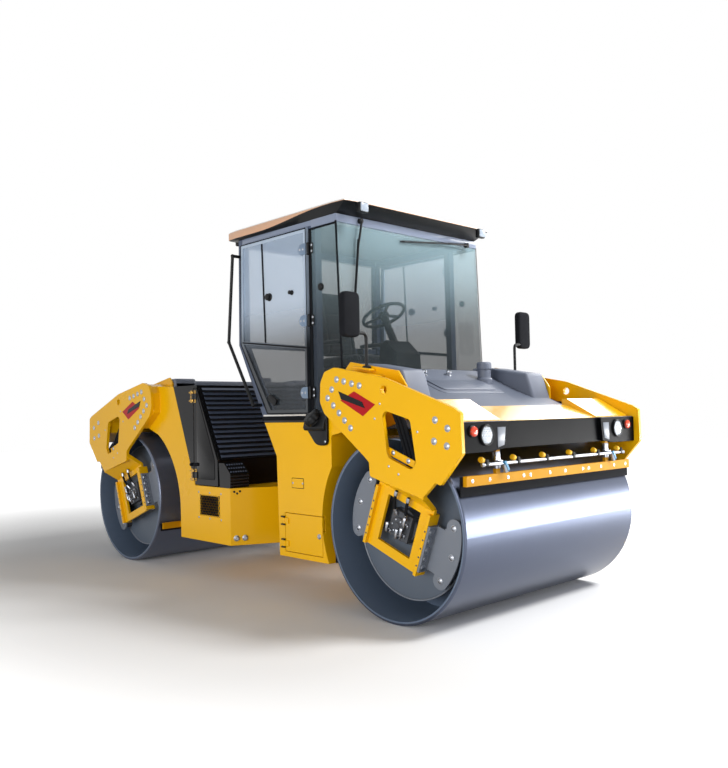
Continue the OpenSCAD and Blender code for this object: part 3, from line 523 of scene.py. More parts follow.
def leg_point(end, side, across, y, along):
    """Point of a tilted drum leg: across and along it from the drum axis, at the distance y."""
    x = across * math.cos(LEG_TILT) + along * math.sin(LEG_TILT)
    z = along * math.cos(LEG_TILT) - across * math.sin(LEG_TILT)
    return Vector((end * (AXLE_X + x), side * y, AXLE_Z + z))


def leg_axes(end):
    """Directions across and along a tilted drum leg."""
    axis = leg_point(end, 1, 0, 0, 0)
    return leg_point(end, 1, 1, 0, 0) - axis, leg_point(end, 1, 0, 0, 1) - axis


def settle(name, mesh, finishes, body, slot, *nodes):
    """Object that rides on a body and may stand for some nodes; its slot argument is not used."""
    obj = bpy.data.objects.new(name, mesh)
    bpy.context.scene.collection.objects.link(obj)
    for finish in finishes:
        mesh.materials.append(FINISHES[finish])
    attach(obj, body)
    if nodes:
        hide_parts(*nodes)
    return obj


def piece(name, bm, finish, body, *nodes, slot=None, crease=32):
    """Finished object from a mesh in the making, shaded smooth up to an angle in degrees."""
    bmesh.ops.recalc_face_normals(bm, faces=bm.faces[:])
    mesh = bpy.data.meshes.new(name)
    bm.to_mesh(mesh)
    bm.free()
    mesh.shade_smooth()
    mesh.set_sharp_from_angle(angle=math.radians(crease))
    finishes = (finish,) if isinstance(finish, str) else finish
    return settle(name, mesh, finishes, body, slot or FINISH_SLOT[finish], *nodes)


def new_tree(name, inputs):
    """Geometry node tree with its carrier input, named inputs, material and output."""
    tree = bpy.data.node_groups.new(name, "GeometryNodeTree")
    tree.interface.new_socket("Geometry", in_out="INPUT", socket_type="NodeSocketGeometry")
    for label, kind in inputs + (("Material", "Material"),):
        tree.interface.new_socket(label, in_out="INPUT", socket_type="NodeSocket" + kind)
    tree.interface.new_socket("Geometry", in_out="OUTPUT", socket_type="NodeSocketGeometry")
    return tree, add(tree, "NodeGroupInput")


def place_on_points(tree, given, instance):
    """Rest of a tree: the instance on each point, turned to the point's aim, as a mesh with its material."""
    aim = add(tree, "GeometryNodeInputNamedAttribute", {"Name": "aim"}, data_type="FLOAT_VECTOR")
    turn = add(tree, "FunctionNodeAlignRotationToVector", {"Vector": aim.outputs[0]}, axis="Z")
    placed = add(tree, "GeometryNodeInstanceOnPoints", {"Points": given.outputs["Geometry"],
                                                        "Instance": instance, "Rotation": turn.outputs[0]})
    real = add(tree, "GeometryNodeRealizeInstances", {0: placed.outputs[0]})
    dressed = add(tree, "GeometryNodeSetMaterial", {"Geometry": real.outputs[0],
                                                    "Material": given.outputs["Material"]})
    add(tree, "NodeGroupOutput", {0: dressed.outputs[0]})
    return tree


def bolt_tree():
    """Dome bolts on points, turned to the aim: a flattened ball on a round flange."""
    tree, given = new_tree("Dome bolts", (("Flange", "Float"),))
    radius, thick, crown = [add(tree, "ShaderNodeMath", {0: given.outputs["Flange"], 1: share},
                                operation="MULTIPLY").outputs[0] for share in (0.5, 0.12, 0.43)]
    flange = add(tree, "GeometryNodeMeshCylinder", {"Vertices": 16, "Radius": radius, "Depth": thick})
    ball = add(tree, "GeometryNodeMeshUVSphere", {"Segments": 14, "Rings": 8, "Radius": crown})
    dome = add(tree, "GeometryNodeTransform", {"Geometry": ball.outputs[0], "Scale": (1, 1, 0.42)})
    smooth = add(tree, "GeometryNodeSetShadeSmooth", {"Geometry": dome.outputs[0]})
    head = add(tree, "GeometryNodeJoinGeometry")
    for part in (flange, smooth):
        tree.links.new(part.outputs[0], head.inputs[0])
    return place_on_points(tree, given, head.outputs[0])


def stud_tree():
    """Short turned studs on points, turned to the aim, with a narrower nose."""
    tree, given = new_tree("Studs", (("Sides", "Int"), ("Radius", "Float"), ("Length", "Float")))
    joined = add(tree, "GeometryNodeJoinGeometry")
    for width, foot, share in ((1.0, 0.0, 0.8), (0.86, 0.8, 0.2)):
        parts = (("Radius", width), ("Length", share), ("Length", foot + share / 2))
        radius, depth, lift = [add(tree, "ShaderNodeMath", {0: given.outputs[size], 1: part},
                                   operation="MULTIPLY").outputs[0] for size, part in parts]
        up = add(tree, "ShaderNodeCombineXYZ", {"Z": lift})
        disc = add(tree, "GeometryNodeMeshCylinder", {"Vertices": given.outputs["Sides"], "Radius": radius,
                                                      "Depth": depth})
        moved = add(tree, "GeometryNodeTransform", {"Geometry": disc.outputs[0],
                                                    "Translation": up.outputs[0]})
        tree.links.new(moved.outputs[0], joined.inputs[0])
    return place_on_points(tree, given, joined.outputs[0])


def lattice_tree():
    """Hexagon frames on points, which together make a perforated sheet."""
    tree, given = new_tree("Lattice", (("Cell", "Float"), ("Bar", "Float"), ("Depth", "Float")))
    reach = add(tree, "ShaderNodeMath", {0: given.outputs["Cell"], 1: 1 / math.sqrt(3)}, operation="MULTIPLY")
    cell = add(tree, "GeometryNodeCurvePrimitiveCircle", {"Resolution": 6, "Radius": reach.outputs[0]})
    upright = add(tree, "GeometryNodeTransform", {"Geometry": cell.outputs[0],
                                                  "Rotation": (0, 0, math.pi / 6)})
    bar = add(tree, "GeometryNodeCurvePrimitiveQuadrilateral", {"Width": given.outputs["Bar"],
                                                                "Height": given.outputs["Depth"]})
    sheet = add(tree, "GeometryNodeCurveToMesh", {"Curve": upright.outputs[0],
                                                  "Profile Curve": bar.outputs[0]})
    return place_on_points(tree, given, sheet.outputs[0])


def slat_tree():
    """Long flat slats on points, with their length across the machine and their face along the aim."""
    tree, given = new_tree("Slats", (("Length", "Float"), ("Width", "Float"), ("Depth", "Float")))
    size = add(tree, "ShaderNodeCombineXYZ", {"X": given.outputs["Width"], "Y": given.outputs["Length"],
                                              "Z": given.outputs["Depth"]})
    slat = add(tree, "GeometryNodeMeshCube", {"Size": size.outputs[0]})
    return place_on_points(tree, given, slat.outputs[0])


def grow(name, make, spots, values, finish, body, slot=None):
    """Plain mesh that a node tree grows on spots, each of a place and an aim."""
    if make not in TREES:
        TREES[make] = make()
    tree = TREES[make]
    carrier = bpy.data.meshes.new("spots")
    carrier.from_pydata([tuple(place) for place, aim in spots], [], [])
    aims = carrier.attributes.new("aim", "FLOAT_VECTOR", "POINT")
    for i, (place, aim) in enumerate(spots):
        aims.data[i].vector = aim
    holder = bpy.data.objects.new(name + "_carrier", carrier)
    modifier = holder.modifiers.new("grow", "NODES")
    modifier.node_group = tree
    values = {"Material": FINISHES[finish], **values}
    for item in tree.interface.items_tree:
        if item.in_out == "INPUT" and item.name in values:
            modifier[item.identifier] = values[item.name]
    bpy.context.scene.collection.objects.link(holder)
    graph = bpy.context.evaluated_depsgraph_get()
    grown = bpy.data.meshes.new_from_object(holder.evaluated_get(graph))
    bpy.data.objects.remove(holder)
    grown.name = name
    return settle(name, grown, (), body, slot or FINISH_SLOT[finish])


def bolts(name, spots, flange, body, finish="zinc", slot=None):
    """Dome bolts of a flange diameter."""
    return grow(name, bolt_tree, spots, {"Flange": flange}, finish, body, slot)


CAMERA_PLACE = (5.8303, -5.0686, 1.4678)
CAMERA_TURN = (91.982, 1.125, 46.316)
CAMERA_LENS = 37.87
# Studio lamps: name, place, the point they face, width and height in metres, power in watts
LAMPS = (
    ("key", (7.0, 3.0, 8.0), (0.0, 0, 0.8), (2.4, 2.4), 860),
    ("fill", (3.5, -11.0, 2.6), (0.0, 0, 1.2), (8.0, 3.5), 660),
    ("band", (7.0, 6.5, 0.60), (2.5, 0, 0.60), (6.0, 1.1), 520),
    ("strip", (2.0, 7.0, 5.5), (2.2, 0, 1.2), (6.5, 2.2), 330),
)
WHITE = (1, 1, 1, 1)
# Strength of the surroundings where they light the part
SOFT_LIGHT = 0.22
# The floor fades to white between these distances from the middle, in metres
FADE_FROM, FADE_TO = 2.3, 5.5


class ROLLER_OT_stage(bpy.types.Operator):
    """Camera, pale floor, soft lamps and white surroundings"""
    bl_idname = "roller.stage"
    bl_label = "Stage"

    def execute(self, context):
        scene = context.scene
        scene.view_settings.view_transform = "Standard"
        lens = bpy.data.cameras.new("camera")
        lens.lens = CAMERA_LENS
        camera = bpy.data.objects.new("camera", lens)
        camera.location = CAMERA_PLACE
        camera.rotation_euler = Euler([math.radians(a) for a in CAMERA_TURN])
        scene.collection.objects.link(camera)
        scene.camera = camera
        make_world(scene)
        make_floor(scene, scene.roller_colours.floor)
        for name, place, aim, size, power in LAMPS:
            lamp = bpy.data.lights.new(name, "AREA")
            lamp.shape = "RECTANGLE"
            lamp.size, lamp.size_y = size
            lamp.energy = power
            obj = bpy.data.objects.new(name, lamp)
            obj.location = place
            obj.rotation_euler = (Vector(aim) - Vector(place)).to_track_quat("-Z", "Y").to_euler()
            obj.visible_camera = False
            scene.collection.objects.link(obj)
        return {"FINISHED"}


def seen_directly(tree):
    """1 for camera, glossy and transmission rays, which should meet the white surroundings."""
    path = add(tree, "ShaderNodeLightPath")
    first = add(tree, "ShaderNodeMath", {0: path.outputs["Is Camera Ray"], 1: path.outputs["Is Glossy Ray"]},
                operation="MAXIMUM")
    return add(tree, "ShaderNodeMath", {0: first.outputs[0], 1: path.outputs["Is Transmission Ray"]},
               operation="MAXIMUM").outputs[0]


def make_world(scene):
    """White where it is seen, and a softer white where it lights."""
    world = bpy.data.worlds.new("studio")
    world.use_nodes = True
    tree = world.node_tree
    tree.nodes.clear()
    soft = add(tree, "ShaderNodeBackground", {"Color": WHITE, "Strength": SOFT_LIGHT})
    white = add(tree, "ShaderNodeBackground", {"Color": WHITE, "Strength": 1.0})
    mixed = add(tree, "ShaderNodeMixShader", {0: seen_directly(tree), 1: soft.outputs[0],
                                              2: white.outputs[0]})
    add(tree, "ShaderNodeOutputWorld", {0: mixed.outputs[0]})
    scene.world = world


def make_floor(scene, colour):
    """Pale painted floor that keeps the shadow and fades to white where it is seen."""
    bm = bmesh.new()
    bmesh.ops.create_grid(bm, x_segments=8, y_segments=8, size=30)
    mesh = bpy.data.meshes.new("floor")
    bm.to_mesh(mesh)
    bm.free()
    material, tree, shader, place = start("matt_floor_paint", colour, 0.9)
    near = add(tree, "ShaderNodeVectorMath", {0: place, 1: (0.55, 1.0, 1.0)}, operation="MULTIPLY")
    away = add(tree, "ShaderNodeVectorMath", {0: near.outputs[0]}, operation="LENGTH")
    fade = add(tree, "ShaderNodeMapRange", {"Value": away.outputs["Value"], "From Min": FADE_FROM,
                                            "From Max": FADE_TO}, interpolation_type="SMOOTHSTEP")
    glow = add(tree, "ShaderNodeMath", {0: fade.outputs[0], 1: seen_directly(tree)}, operation="MULTIPLY")
    tree.links.new(glow.outputs[0], shader.inputs["Emission Strength"])
    shader.inputs["Emission Color"].default_value = WHITE
    mesh.materials.append(material)
    floor = bpy.data.objects.new("floor", mesh)
    scene.collection.objects.link(floor)


class ROLLER_OT_finishes(bpy.types.Operator):
    """Materials, and their place on the solids of the frame"""
    bl_idname = "roller.finishes"
    bl_label = "Finishes"

    def execute(self, context):
        TREES.clear()
        FINISHES.clear()
        FINISHES.update(make_finishes(context.scene.roller_colours))
        for finish, nodes in NODE_FINISH.items():
            for node in nodes:
                for slot in frame["nodes"][node].material_slots:
                    slot.material = FINISHES[finish]
        return {"FINISHED"}


# Bolts of a side plate, as X from the drum axis and Z from the drum top
PLATE_BOLTS = ((-0.455, 0.408), (-0.377, 0.391), (-0.295, 0.371), (-0.216, 0.354), (-0.509, 0.337),
               (-0.556, 0.275), (-0.495, 0.22), (-0.434, 0.164), (-0.376, 0.11), (-0.314, 0.055),
               (0.487, 0.107), (0.59, 0.053), (0.475, -0.03), (0.582, -0.059))
# Bolts of a crescent, as a radius from the drum axis and sweeps in degrees
CRESCENT_R = 0.46
CRESCENT_SWEEPS = (-24.6, 0, 24.6)
# Bolts of a leg's brackets, as distances along the leg and across it
BRACKET_ALONG = (-0.15, -0.085, -0.02, 0.045, 0.11)
BRACKET_ACROSS = 0.288
# Bolts of the scraper bar, as Y from the middle and Z from the drum top, and their share of a plate bolt
SCRAPER_BOLTS = (0.10, 0.34, 0.42, 0.60, 0.80, 0.98)
SCRAPER_Z = -0.29
SCRAPER_SHARE = 0.55


class ROLLER_OT_bolts(bpy.types.Operator):
    """Flange bolts on the side plates, crescents, brackets and scraper bars"""
    bl_idname = "roller.bolts"
    bl_label = "Bolts"

    def execute(self, context):
        sizes = context.scene.roller_sizes
        bar_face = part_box("front_scraper")[1].x
        for end, name in ENDS:
            across = leg_axes(end)[0]
            large = []
            for side in SIDES:
                out = (0, side, 0)
                large += [(spot, out) for spot in corner_ring(PLATE_BOLTS, end, side, PLATE)]
                for turn in (0, math.pi):
                    for sweep in CRESCENT_SWEEPS:
                        angle = math.radians(sweep) + turn - LEG_TILT
                        x, z = CRESCENT_R * math.cos(angle), CRESCENT_R * math.sin(angle)
                        large.append(((end * (AXLE_X + x), side * (DRUM_END - 0.110), AXLE_Z + z), out))
                for along in BRACKET_ALONG:
                    for flange in SIDES:
                        spot = leg_point(end, side, flange * BRACKET_ACROSS, DRUM_END - 0.06, along)
                        large.append((spot, across * flange))
            small = [((end * bar_face, side * y, DRUM_TOP + SCRAPER_Z), (end, 0, 0))
                     for side in SIDES for y in SCRAPER_BOLTS]
            bolts(name + "_bolts", large, sizes.bolt, name + "_frame")
            bolts(name + "_screws", small, sizes.bolt * SCRAPER_SHARE, name + "_frame")
        return {"FINISHED"}


# Rings of the roof shell: inset in X and Y, height over the underside, gap over the lower rim where the ring
# follows it, and the finish of the wall below it: 0 side, 1 top, 2 underside
ROOF_RINGS = ((0.14, 0.036, 0.0, None, 2), (0.010, 0.006, 0.0, 0.0, 2), (0.0, 0.0, 0.0, 0.008, 2),
              (0.0, 0.0, 0.080, 0.012, 0), (0.012, 0.010, 0.091, None, 1), (0.030, 0.026, 0.094, None, 1),
              (0.12, 0.11, 0.099, None, 1), (0.34, 0.34, 0.105, None, 1))
ROOF_CORNER = 0.045
# Points along each edge of a roof ring
EDGE_POINTS = 12
# Lifting eyes: X of each pair, and the turned foot
EYES_X = (0.07, 1.0)
EYE_FOOT = ((0.020, 0), (0.020, 0.006), (0.008, 0.007), (0.008, 0.012))


def rim_low(share):
    """Height of the lower roof rim over the underside, from the back (0) to the front (1)."""
    share = min(max((share - 0.30) / 0.55, 0), 1)
    return 0.010 + 0.058 * share * share * (3 - 2 * share)


def rounded_ring(low_x, high_x, low_y, high_y, radius):
    """Points round a rectangle, of which those near a corner lie on a round."""
    corners = [(low_x, low_y), (high_x, low_y), (high_x, high_y), (low_x, high_y)]
    made = []
    for a, b in zip(corners, corners[1:] + corners[:1]):
        for k in range(EDGE_POINTS):
            x, y = [first + (last - first) * k / EDGE_POINTS for first, last in zip(a, b)]
            centre = Vector((min(max(x, low_x + radius), high_x - radius),
                             min(max(y, low_y + radius), high_y - radius), 0))
            off = Vector((x, y, 0)) - centre
            if abs(off.x) > 1e-6 and abs(off.y) > 1e-6:
                off = off.normalized() * radius
            made.append(centre + off)
    return made


class ROLLER_OT_roof(bpy.types.Operator):
    """Crowned roof moulding whose rim thins to the front, and its lifting eyes"""
    bl_idname = "roller.roof"
    bl_label = "Roof"

    def execute(self, context):
        low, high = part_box("cab_roof")
        shell, eyes = fresh(2)
        rows = []
        for inset_x, inset_y, height, gap, finish in ROOF_RINGS:
            ring = rounded_ring(low.x + inset_x, high.x - inset_x, low.y + inset_y, high.y - inset_y,
                                ROOF_CORNER)
            for point in ring:
                rim = rim_low((point.x - low.x) / (high.x - low.x))
                point.z = low.z + (height if gap is None else max(height, rim + gap))
            row = [shell.verts.new(point) for point in ring]
            if rows:
                for i, corner in enumerate(rows[-1]):
                    j = (i + 1) % len(row)
                    shell.faces.new((corner, rows[-1][j], row[j], row[i])).material_index = finish
            rows.append(row)
        shell.faces.new(rows[0]).material_index = 2
        shell.faces.new(rows[-1]).material_index = 1
        piece("roof_shell", shell, ("roof_side", "roof_top", "plastic"), FRONT, "cab_roof",
              slot="roof_plastic", crease=50)
        for side in SIDES:
            for x in EYES_X:
                foot = Vector((x, side * (high.y - 0.05), low.z + 0.084))
                lathe(eyes, EYE_FOOT, foot, UP, 16)
                hoop = [foot + Vector((0.009 * math.cos(a), 0, 0.014 + 0.004 * math.sin(a)))
                        for a in [k * math.pi / 8 for k in range(17)]]
                tube(eyes, hoop, 0.0025, 8)
        piece("lifting_eyes", eyes, "gold", FRONT)
        return {"FINISHED"}


# Turned profile of a headlamp's bezel and lens, as inset from the lamp's radius and distance ahead
BEZEL = ((0, 0), (0, 0.012), (0.003, 0.016), (0.007, 0.016), (0.010, 0.006))
LENS = ((0.009, 0.005), (0.009, 0.011), (0.020, 0.015))
LENS_MIDDLE = ((0.03, 0.0165), (0, 0.017))
# Turned indicator lamp and the ring about it
INDICATOR = ((0.033, 0.009), (0.034, 0.018), (0.030, 0.025), (0.02, 0.029), (0, 0.030))
INDICATOR_RING = ((0.039, 0), (0.039, 0.008), (0.035, 0.011), (0.031, 0.011), (0, 0.009))
# Facet beside a headlamp, grey as a painted reflection of the sky on the black pod, as Y from the inner side
# of the plates and Z from the drum top
FACET = ((-0.400, 0.050), (-0.490, 0.050), (-0.472, -0.070), (-0.400, -0.086))
# Depth and width of a roof work lamp, and how far its front stands in from the case
WORK_LAMP = (0.052, 0.095)
WORK_FRONT = 0.008
# Height of a hexagon row over its pitch
ROW = 0.866


class ROLLER_OT_lamps(bpy.types.Operator):
    """Headlamps with a honeycomb behind the lens, indicators and roof work lamps"""
    bl_idname = "roller.lamps"
    bl_label = "Lamps"

    def execute(self, context):
        sizes = context.scene.roller_sizes
        radius = sizes.headlamp / 2
        bezel_profile = [(radius - inset, along) for inset, along in BEZEL] + [(0, 0.004)]
        lens_profile = [(radius - inset, along) for inset, along in LENS] + list(LENS_MIDDLE)
        for end, name in ENDS:
            body = name + "_frame"
            bezel, lens, indicator, ring = fresh(4)
            cells = []
            out = Vector((end, 0, 0))
            for side in SIDES:
                face = Vector((end * POD_X, side * (PLATE_IN - 0.277), DRUM_TOP + 0.001))
                lathe(bezel, bezel_profile, face, out, 40)
                lathe(lens, lens_profile, face, out, 40)
                for row in range(-5, 6):
                    for column in range(-5, 6):
                        y, z = (column + (row % 2) / 2) * sizes.cell, row * sizes.cell * ROW
                        if math.hypot(y, z) < radius - 0.014:
                            cells.append((face + Vector((end * 0.004, y, z)), out))
                spot = Vector((end * POD_X, side * (PLATE_IN - 0.135), DRUM_TOP + 0.029))
                lathe(ring, INDICATOR_RING, spot, out)
                lathe(indicator, INDICATOR, spot, out)
            piece(name + "_lamp_bezels", bezel, "plastic", body, name + "_lamps")
            piece(name + "_indicator_rings", ring, "plastic", body)
            piece(name + "_lamp_lenses", lens, "lens" if end > 0 else "red", body)
            piece(name + "_indicators", indicator, "amber", body)
            grow(name + "_lamp_cells", stud_tree, cells,
                 {"Sides": 6, "Radius": sizes.cell * 0.50, "Length": 0.007}, "cell", body)
        # Grey facets and pale lids on the black pods are painted reflections of the sky on their slopes and
        # tops
        for end, name in ENDS:
            facets, lids = fresh(2)
            for side in SIDES:
                slab(facets, [(end * POD_X, side * (PLATE_IN + y), DRUM_TOP + z) for y, z in FACET],
                     (end * 0.003, 0, 0))
                block(lids, (end * BUMPER_X, side * (PLATE_IN - 0.510), DRUM_TOP + 0.088),
                      (end * (POD_X - 0.004), side * (PLATE_IN - 0.010), DRUM_TOP + 0.091))
            soften(facets, 0.001)
            piece(name + "_pod_facets_painted_reflection", facets, "grey", name + "_frame")
            piece(name + "_pod_lids_painted_reflection", lids, "tank", name + "_frame", slot="slate_paint")
        case, front = fresh(2)
        low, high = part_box("work_lamps")
        depth, half = WORK_LAMP[0], WORK_LAMP[1] / 2
        for side in SIDES:
            y = side * (high.y - half)
            for x, out in ((high.x, 1), (low.x, -1)):
                block(case, (x - out * depth, y - half, low.z), (x - out * 0.010, y + half, high.z))
                block(front, (x - out * 0.012, y - half + WORK_FRONT, low.z + WORK_FRONT),
                      (x, y + half - WORK_FRONT, high.z - WORK_FRONT))
        soften(case, 0.010, 3)
        soften(front, 0.006)
        piece("work_lamp_cases", case, "plastic", FRONT, "work_lamps")
        piece("work_lamp_lenses", front, "cell", FRONT, slot="lamp_lens")
        return {"FINISHED"}


# Turned end plug of a spray pipe and body of its valve
PIPE_PLUG = ((0.012, 0), (0.0145, 0.001), (0.0145, 0.018), (0.012, 0.020), (0, 0.020))
VALVE_BODY = ((0.017, 0), (0.017, 0.058), (0.012, 0.060), (0, 0.060))
# Valve lever, as Y and Z from its hanger, and a pipe clip, as X and Z from the pipe
LEVER = ((0.010, 0.012), (0.030, 0.016), (0.066, -0.040), (0.054, -0.056))
CLIP = ((-0.016, -0.012), (0.014, -0.012), (0.016, 0.008), (0.010, 0.034), (-0.018, 0.036))
CLIP_PITCH = 0.345
PIPE_R = 0.012


class ROLLER_OT_spray(bpy.types.Operator):
    """Spray pipes with clips, nozzle caps and brackets"""
    bl_idname = "roller.spray"
    bl_label = "Spray pipes"

    def execute(self, context):
        cap_r = context.scene.roller_sizes.nozzle / 2
        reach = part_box("front_spray_bar")[1].y - 0.02
        x, z = BUMPER_X + 0.068, DRUM_TOP - 0.190
        for end, name in ENDS:
            body = name + "_frame"
            pipe, clips, sleeves, levers = fresh(4)
            caps = []
            tube(pipe, [(end * x, -reach, z), (end * x, reach, z)], PIPE_R, 20)
            for side in SIDES:
                hanger = side * (PLATE_IN - 0.418)
                lathe(pipe, PIPE_PLUG, (end * x, side * reach, z), (0, side, 0), 6)
                block(pipe, (end * (x - 0.028), hanger - 0.010, z - 0.011),
                      (end * (x + 0.004), hanger + 0.010, z + 0.014))
                block(pipe, (end * (x - 0.034), hanger - 0.022, z + 0.014),
                      (end * (x - 0.004), hanger + 0.022, z + 0.020))
                block(sleeves, (end * (BUMPER_X + 0.013), hanger - 0.025, z - 0.036),
                      (end * (BUMPER_X + 0.043), hanger + 0.025, z + 0.078))
                lathe(sleeves, VALVE_BODY, (end * x, hanger + 0.030, z - 0.006), (0, 0.35, -0.94), 6)
                slab(levers, [(end * (x + 0.008), hanger + dy, z + dz) for dy, dz in LEVER],
                     (end * 0.012, 0, 0))
                for k in range(3):
                    y = side * (k + 0.5) * CLIP_PITCH
                    slab(clips, [(end * (x + dx), y - 0.016, z + dz) for dx, dz in CLIP], (0, 0.032, 0))
                    caps.append(((end * (x - 0.010), y - 0.026, z + 0.026), (0, -0.8, 0.35)))
            soften(clips, 0.004)
            soften(sleeves, 0.003)
            piece(name + "_spray_pipe", pipe, "zinc", body, name + "_spray_bar", crease=40)
            piece(name + "_spray_clips", clips, "plastic", body)
            piece(name + "_spray_valves", sleeves, "zinc", body, crease=40)
            piece(name + "_valve_levers", levers, "valve", body)
            grow(name + "_nozzle_caps", stud_tree, caps, {"Sides": 12, "Radius": cap_r, "Length": 0.030},
                 "yellow_cap", body)
        return {"FINISHED"}


STALK_FOOT = ((0.034, 0), (0.034, 0.012), (0.022, 0.020), (0.0125, 0.022))
STALK_R = 0.0125
# The fin that carries a mirror falls 88 mm over 499 mm
FIN_SLOPE = 0.088 / 0.499


class ROLLER_OT_mirrors(bpy.types.Operator):
    """Rear view mirrors on bent stalks"""
    bl_idname = "roller.mirrors"
    bl_label = "Mirrors"

    def execute(self, context):
        low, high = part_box("mirrors")
        inner, outer, foot_z = high.y - 0.170, high.y, low.z
        bottom, top = high.z - 0.335, high.z
        stalk_x, stalk_y, knee_z = AXLE_X - 0.370, PLATE_IN - 0.195, bottom + 0.035
        heads, stalks, faces, feet = fresh(4)
        # The heads and the silvered faces, by their inset, corner radius and thickness
        shells = ((heads, 0, 0.05, high.x - 0.006 - low.x), (faces, 0.012, 0.040, 0.004))
        for side in SIDES:
            for bm, inset, corner, push in shells:
                near, far = side * (inner + inset), side * (outer - inset)
                ring = [(low.x, near, bottom + inset), (low.x, far, bottom + inset),
                        (low.x, far, top - inset), (low.x, near, top - inset)]
                slab(bm, fillet(ring, corner, closed=True), (push, 0, 0))
            route = [(stalk_x, side * stalk_y, foot_z + 0.03), (stalk_x, side * stalk_y, knee_z),
                     (stalk_x, side * (inner + 0.03), knee_z)]
            tube(stalks, fillet(route, 0.04), STALK_R, 16)
            # A folded plate that follows the fin
            ring = at_y([(x, foot_z - (x - stalk_x) * FIN_SLOPE) for x in (stalk_x - 0.100, stalk_x + 0.075)],
                        side * (stalk_y - 0.050))
            slab(feet, ring + [(x, y, z + 0.014) for x, y, z in reversed(ring)], (0, side * 0.100, 0))
            lathe(stalks, STALK_FOOT, (stalk_x, side * stalk_y, foot_z + 0.010), UP, 24)
        soften(heads, 0.018, 3)
        soften(feet, 0.004)
        piece("mirror_heads", heads, "rubber", FRONT, "mirrors", slot="black_plastic")
        piece("mirror_faces", faces, "mirror", FRONT)
        piece("mirror_stalks", stalks, "plastic", FRONT)
        piece("mirror_feet", feet, "yellow", FRONT)
        return {"FINISHED"}


def screen_x(z):
    """X of the outer face of the windscreen at a height; it leans back by 58 mm."""
    return GLASS_HIGH.x - 0.058 * (z - GLASS_LOW.z) / (GLASS_HIGH.z - GLASS_LOW.z)


# Edge of a door face, as X and Z
DOOR_LINE = [(0.271, SILL_Z + 0.028), (-0.104, 2.088), (-0.089, 2.968), (0.812, 2.968),
             (0.812, SILL_Z + 0.028)]
# Heights of the three hinges, and the radius of the round end of a hinge plate
HINGE_HEIGHTS = [SILL_Z + rise for rise in (0.192, 0.776, 1.360)]
HINGE_ROUND = 0.046
# Turned knuckle of a hinge, button of a pane, and foot of a wiper
KNUCKLE = ((0, 0), (0.012, 0), (0.014, 0.003), (0.014, 0.097), (0.012, 0.1), (0, 0.1))
PANE_BUTTON = ((0.030, 0), (0.030, 0.014), (0.022, 0.022), (0, 0.022))
WIPER_FOOT = ((0.022, 0), (0.022, 0.03), (0.012, 0.036), (0, 0.036))
# Turned grip of a door pane, as shares of its reach, and each grip's X, Z and reach
GRIP = ((0.7, 0), (0.7, 0.006), (0.45, 0.010), (0.45, 0.022), (0.6, 0.028), (0.5, 0.034), (0, 0.034))
GRIPS = ((0.309, 2.464, 0.05), (0.615, 2.467, 0.03))
# Pivot, knee and tip of each wiper, as Y and Z, and how far each stands off the screen
WIPERS = (((-0.62, 3.00), (-0.66, 2.82), (-0.71, 2.41)), ((0.72, 2.975), (0.45, 2.955), (-0.12, 2.90)))
WIPER_OFF = (0.034, 0.030, 0.022)
# X of the front post
POST_X = 1.153


class ROLLER_OT_cab_trim(bpy.types.Operator):
    """Header bands, seals, hinge plates, handles and wipers of the cab"""
    bl_idname = "roller.cab_trim"
    bl_label = "Cab trim"

    def execute(self, context):
        screw = context.scene.roller_sizes.screw
        dress_cab(screw)
        for side, hand in HANDS:
            dress_door(side, "door_" + hand, screw)
        fit_wipers()
        return {"FINISHED"}


def dress_cab(screw):
    """Bands, seals, sills and hinge brackets on the fixed cab."""
    under, top, base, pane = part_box("cab_roof")[0].z, GLASS_HIGH.z, GLASS_LOW.z, GLASS_HIGH.y
    band_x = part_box("door_left")[0].x + 0.01
    bands, seals, plates, sills, kicks = fresh(5)
    spots = []
    for side in SIDES:
        out = (0, side, 0)
        wall = side * CAB
        face = side * (pane + 0.0002)
        block(bands, (band_x, wall, top + 0.022), (POST_X, side * (CAB + 0.004), under))
        block(bands, (HINGE_X + 0.03, wall, top + 0.002), (POST_X, side * (CAB + 0.009), under))
        edge = [(screen_x(z), side * (pane + 0.0005), z + lift) for z, lift in ((base, 0.02), (top, 0))]
        strip(seals, edge, 0.016, (0.003, side * 0.002, 0))
        route = [(HINGE_X + 0.024, base + 0.01), (HINGE_X + 0.024, top - 0.01), (1.140, top - 0.008)]
        strip(seals, at_y(route, face), 0.016, (0, side * 0.003, 0))
        # Rubber behind the gap between the door and its post
        block(seals, (HINGE_X - 0.016, wall, SILL_Z + 0.030), (HINGE_X + 0.024, side * (CAB + 0.0035), top))
        for z in HINGE_HEIGHTS:
            oval(plates, (HINGE_X + 0.040, face, z), 0.014, 0.046, (0, side * 0.008, 0))
            spots += [((HINGE_X + 0.040, face + side * 0.008, z + dz), out) for dz in (-0.024, 0.024)]
        lathe(plates, PANE_BUTTON, (0.974, face, 2.471), out, 24)
        block(sills, (0.178, wall, SILL_Z + 0.006), (HINGE_X + 0.036, side * (CAB + 0.008), SILL_Z + 0.020))
        block(kicks, (0.168, wall, SILL_Z - 0.030), (1.185, side * (CAB + 0.012), SILL_Z + 0.004))
    block(bands, (POST_X - 0.003, -CAB - 0.006, top + 0.002), (POST_X + 0.010, CAB + 0.006, under))
    for bm, width in ((bands, 0.002), (plates, 0.003), (sills, 0.002), (kicks, 0.003)):
        soften(bm, width)
    piece("sill_strips", sills, "roof_top", FRONT)
    piece("sill_kicks", kicks, "rubber", FRONT)
    piece("header_bands", bands, "band", FRONT)
    piece("pane_seals", seals, "rubber", FRONT)
    piece("pane_hinge_plates", plates, "plastic", FRONT)
    bolts("pane_hinge_bolts", spots, screw, FRONT)


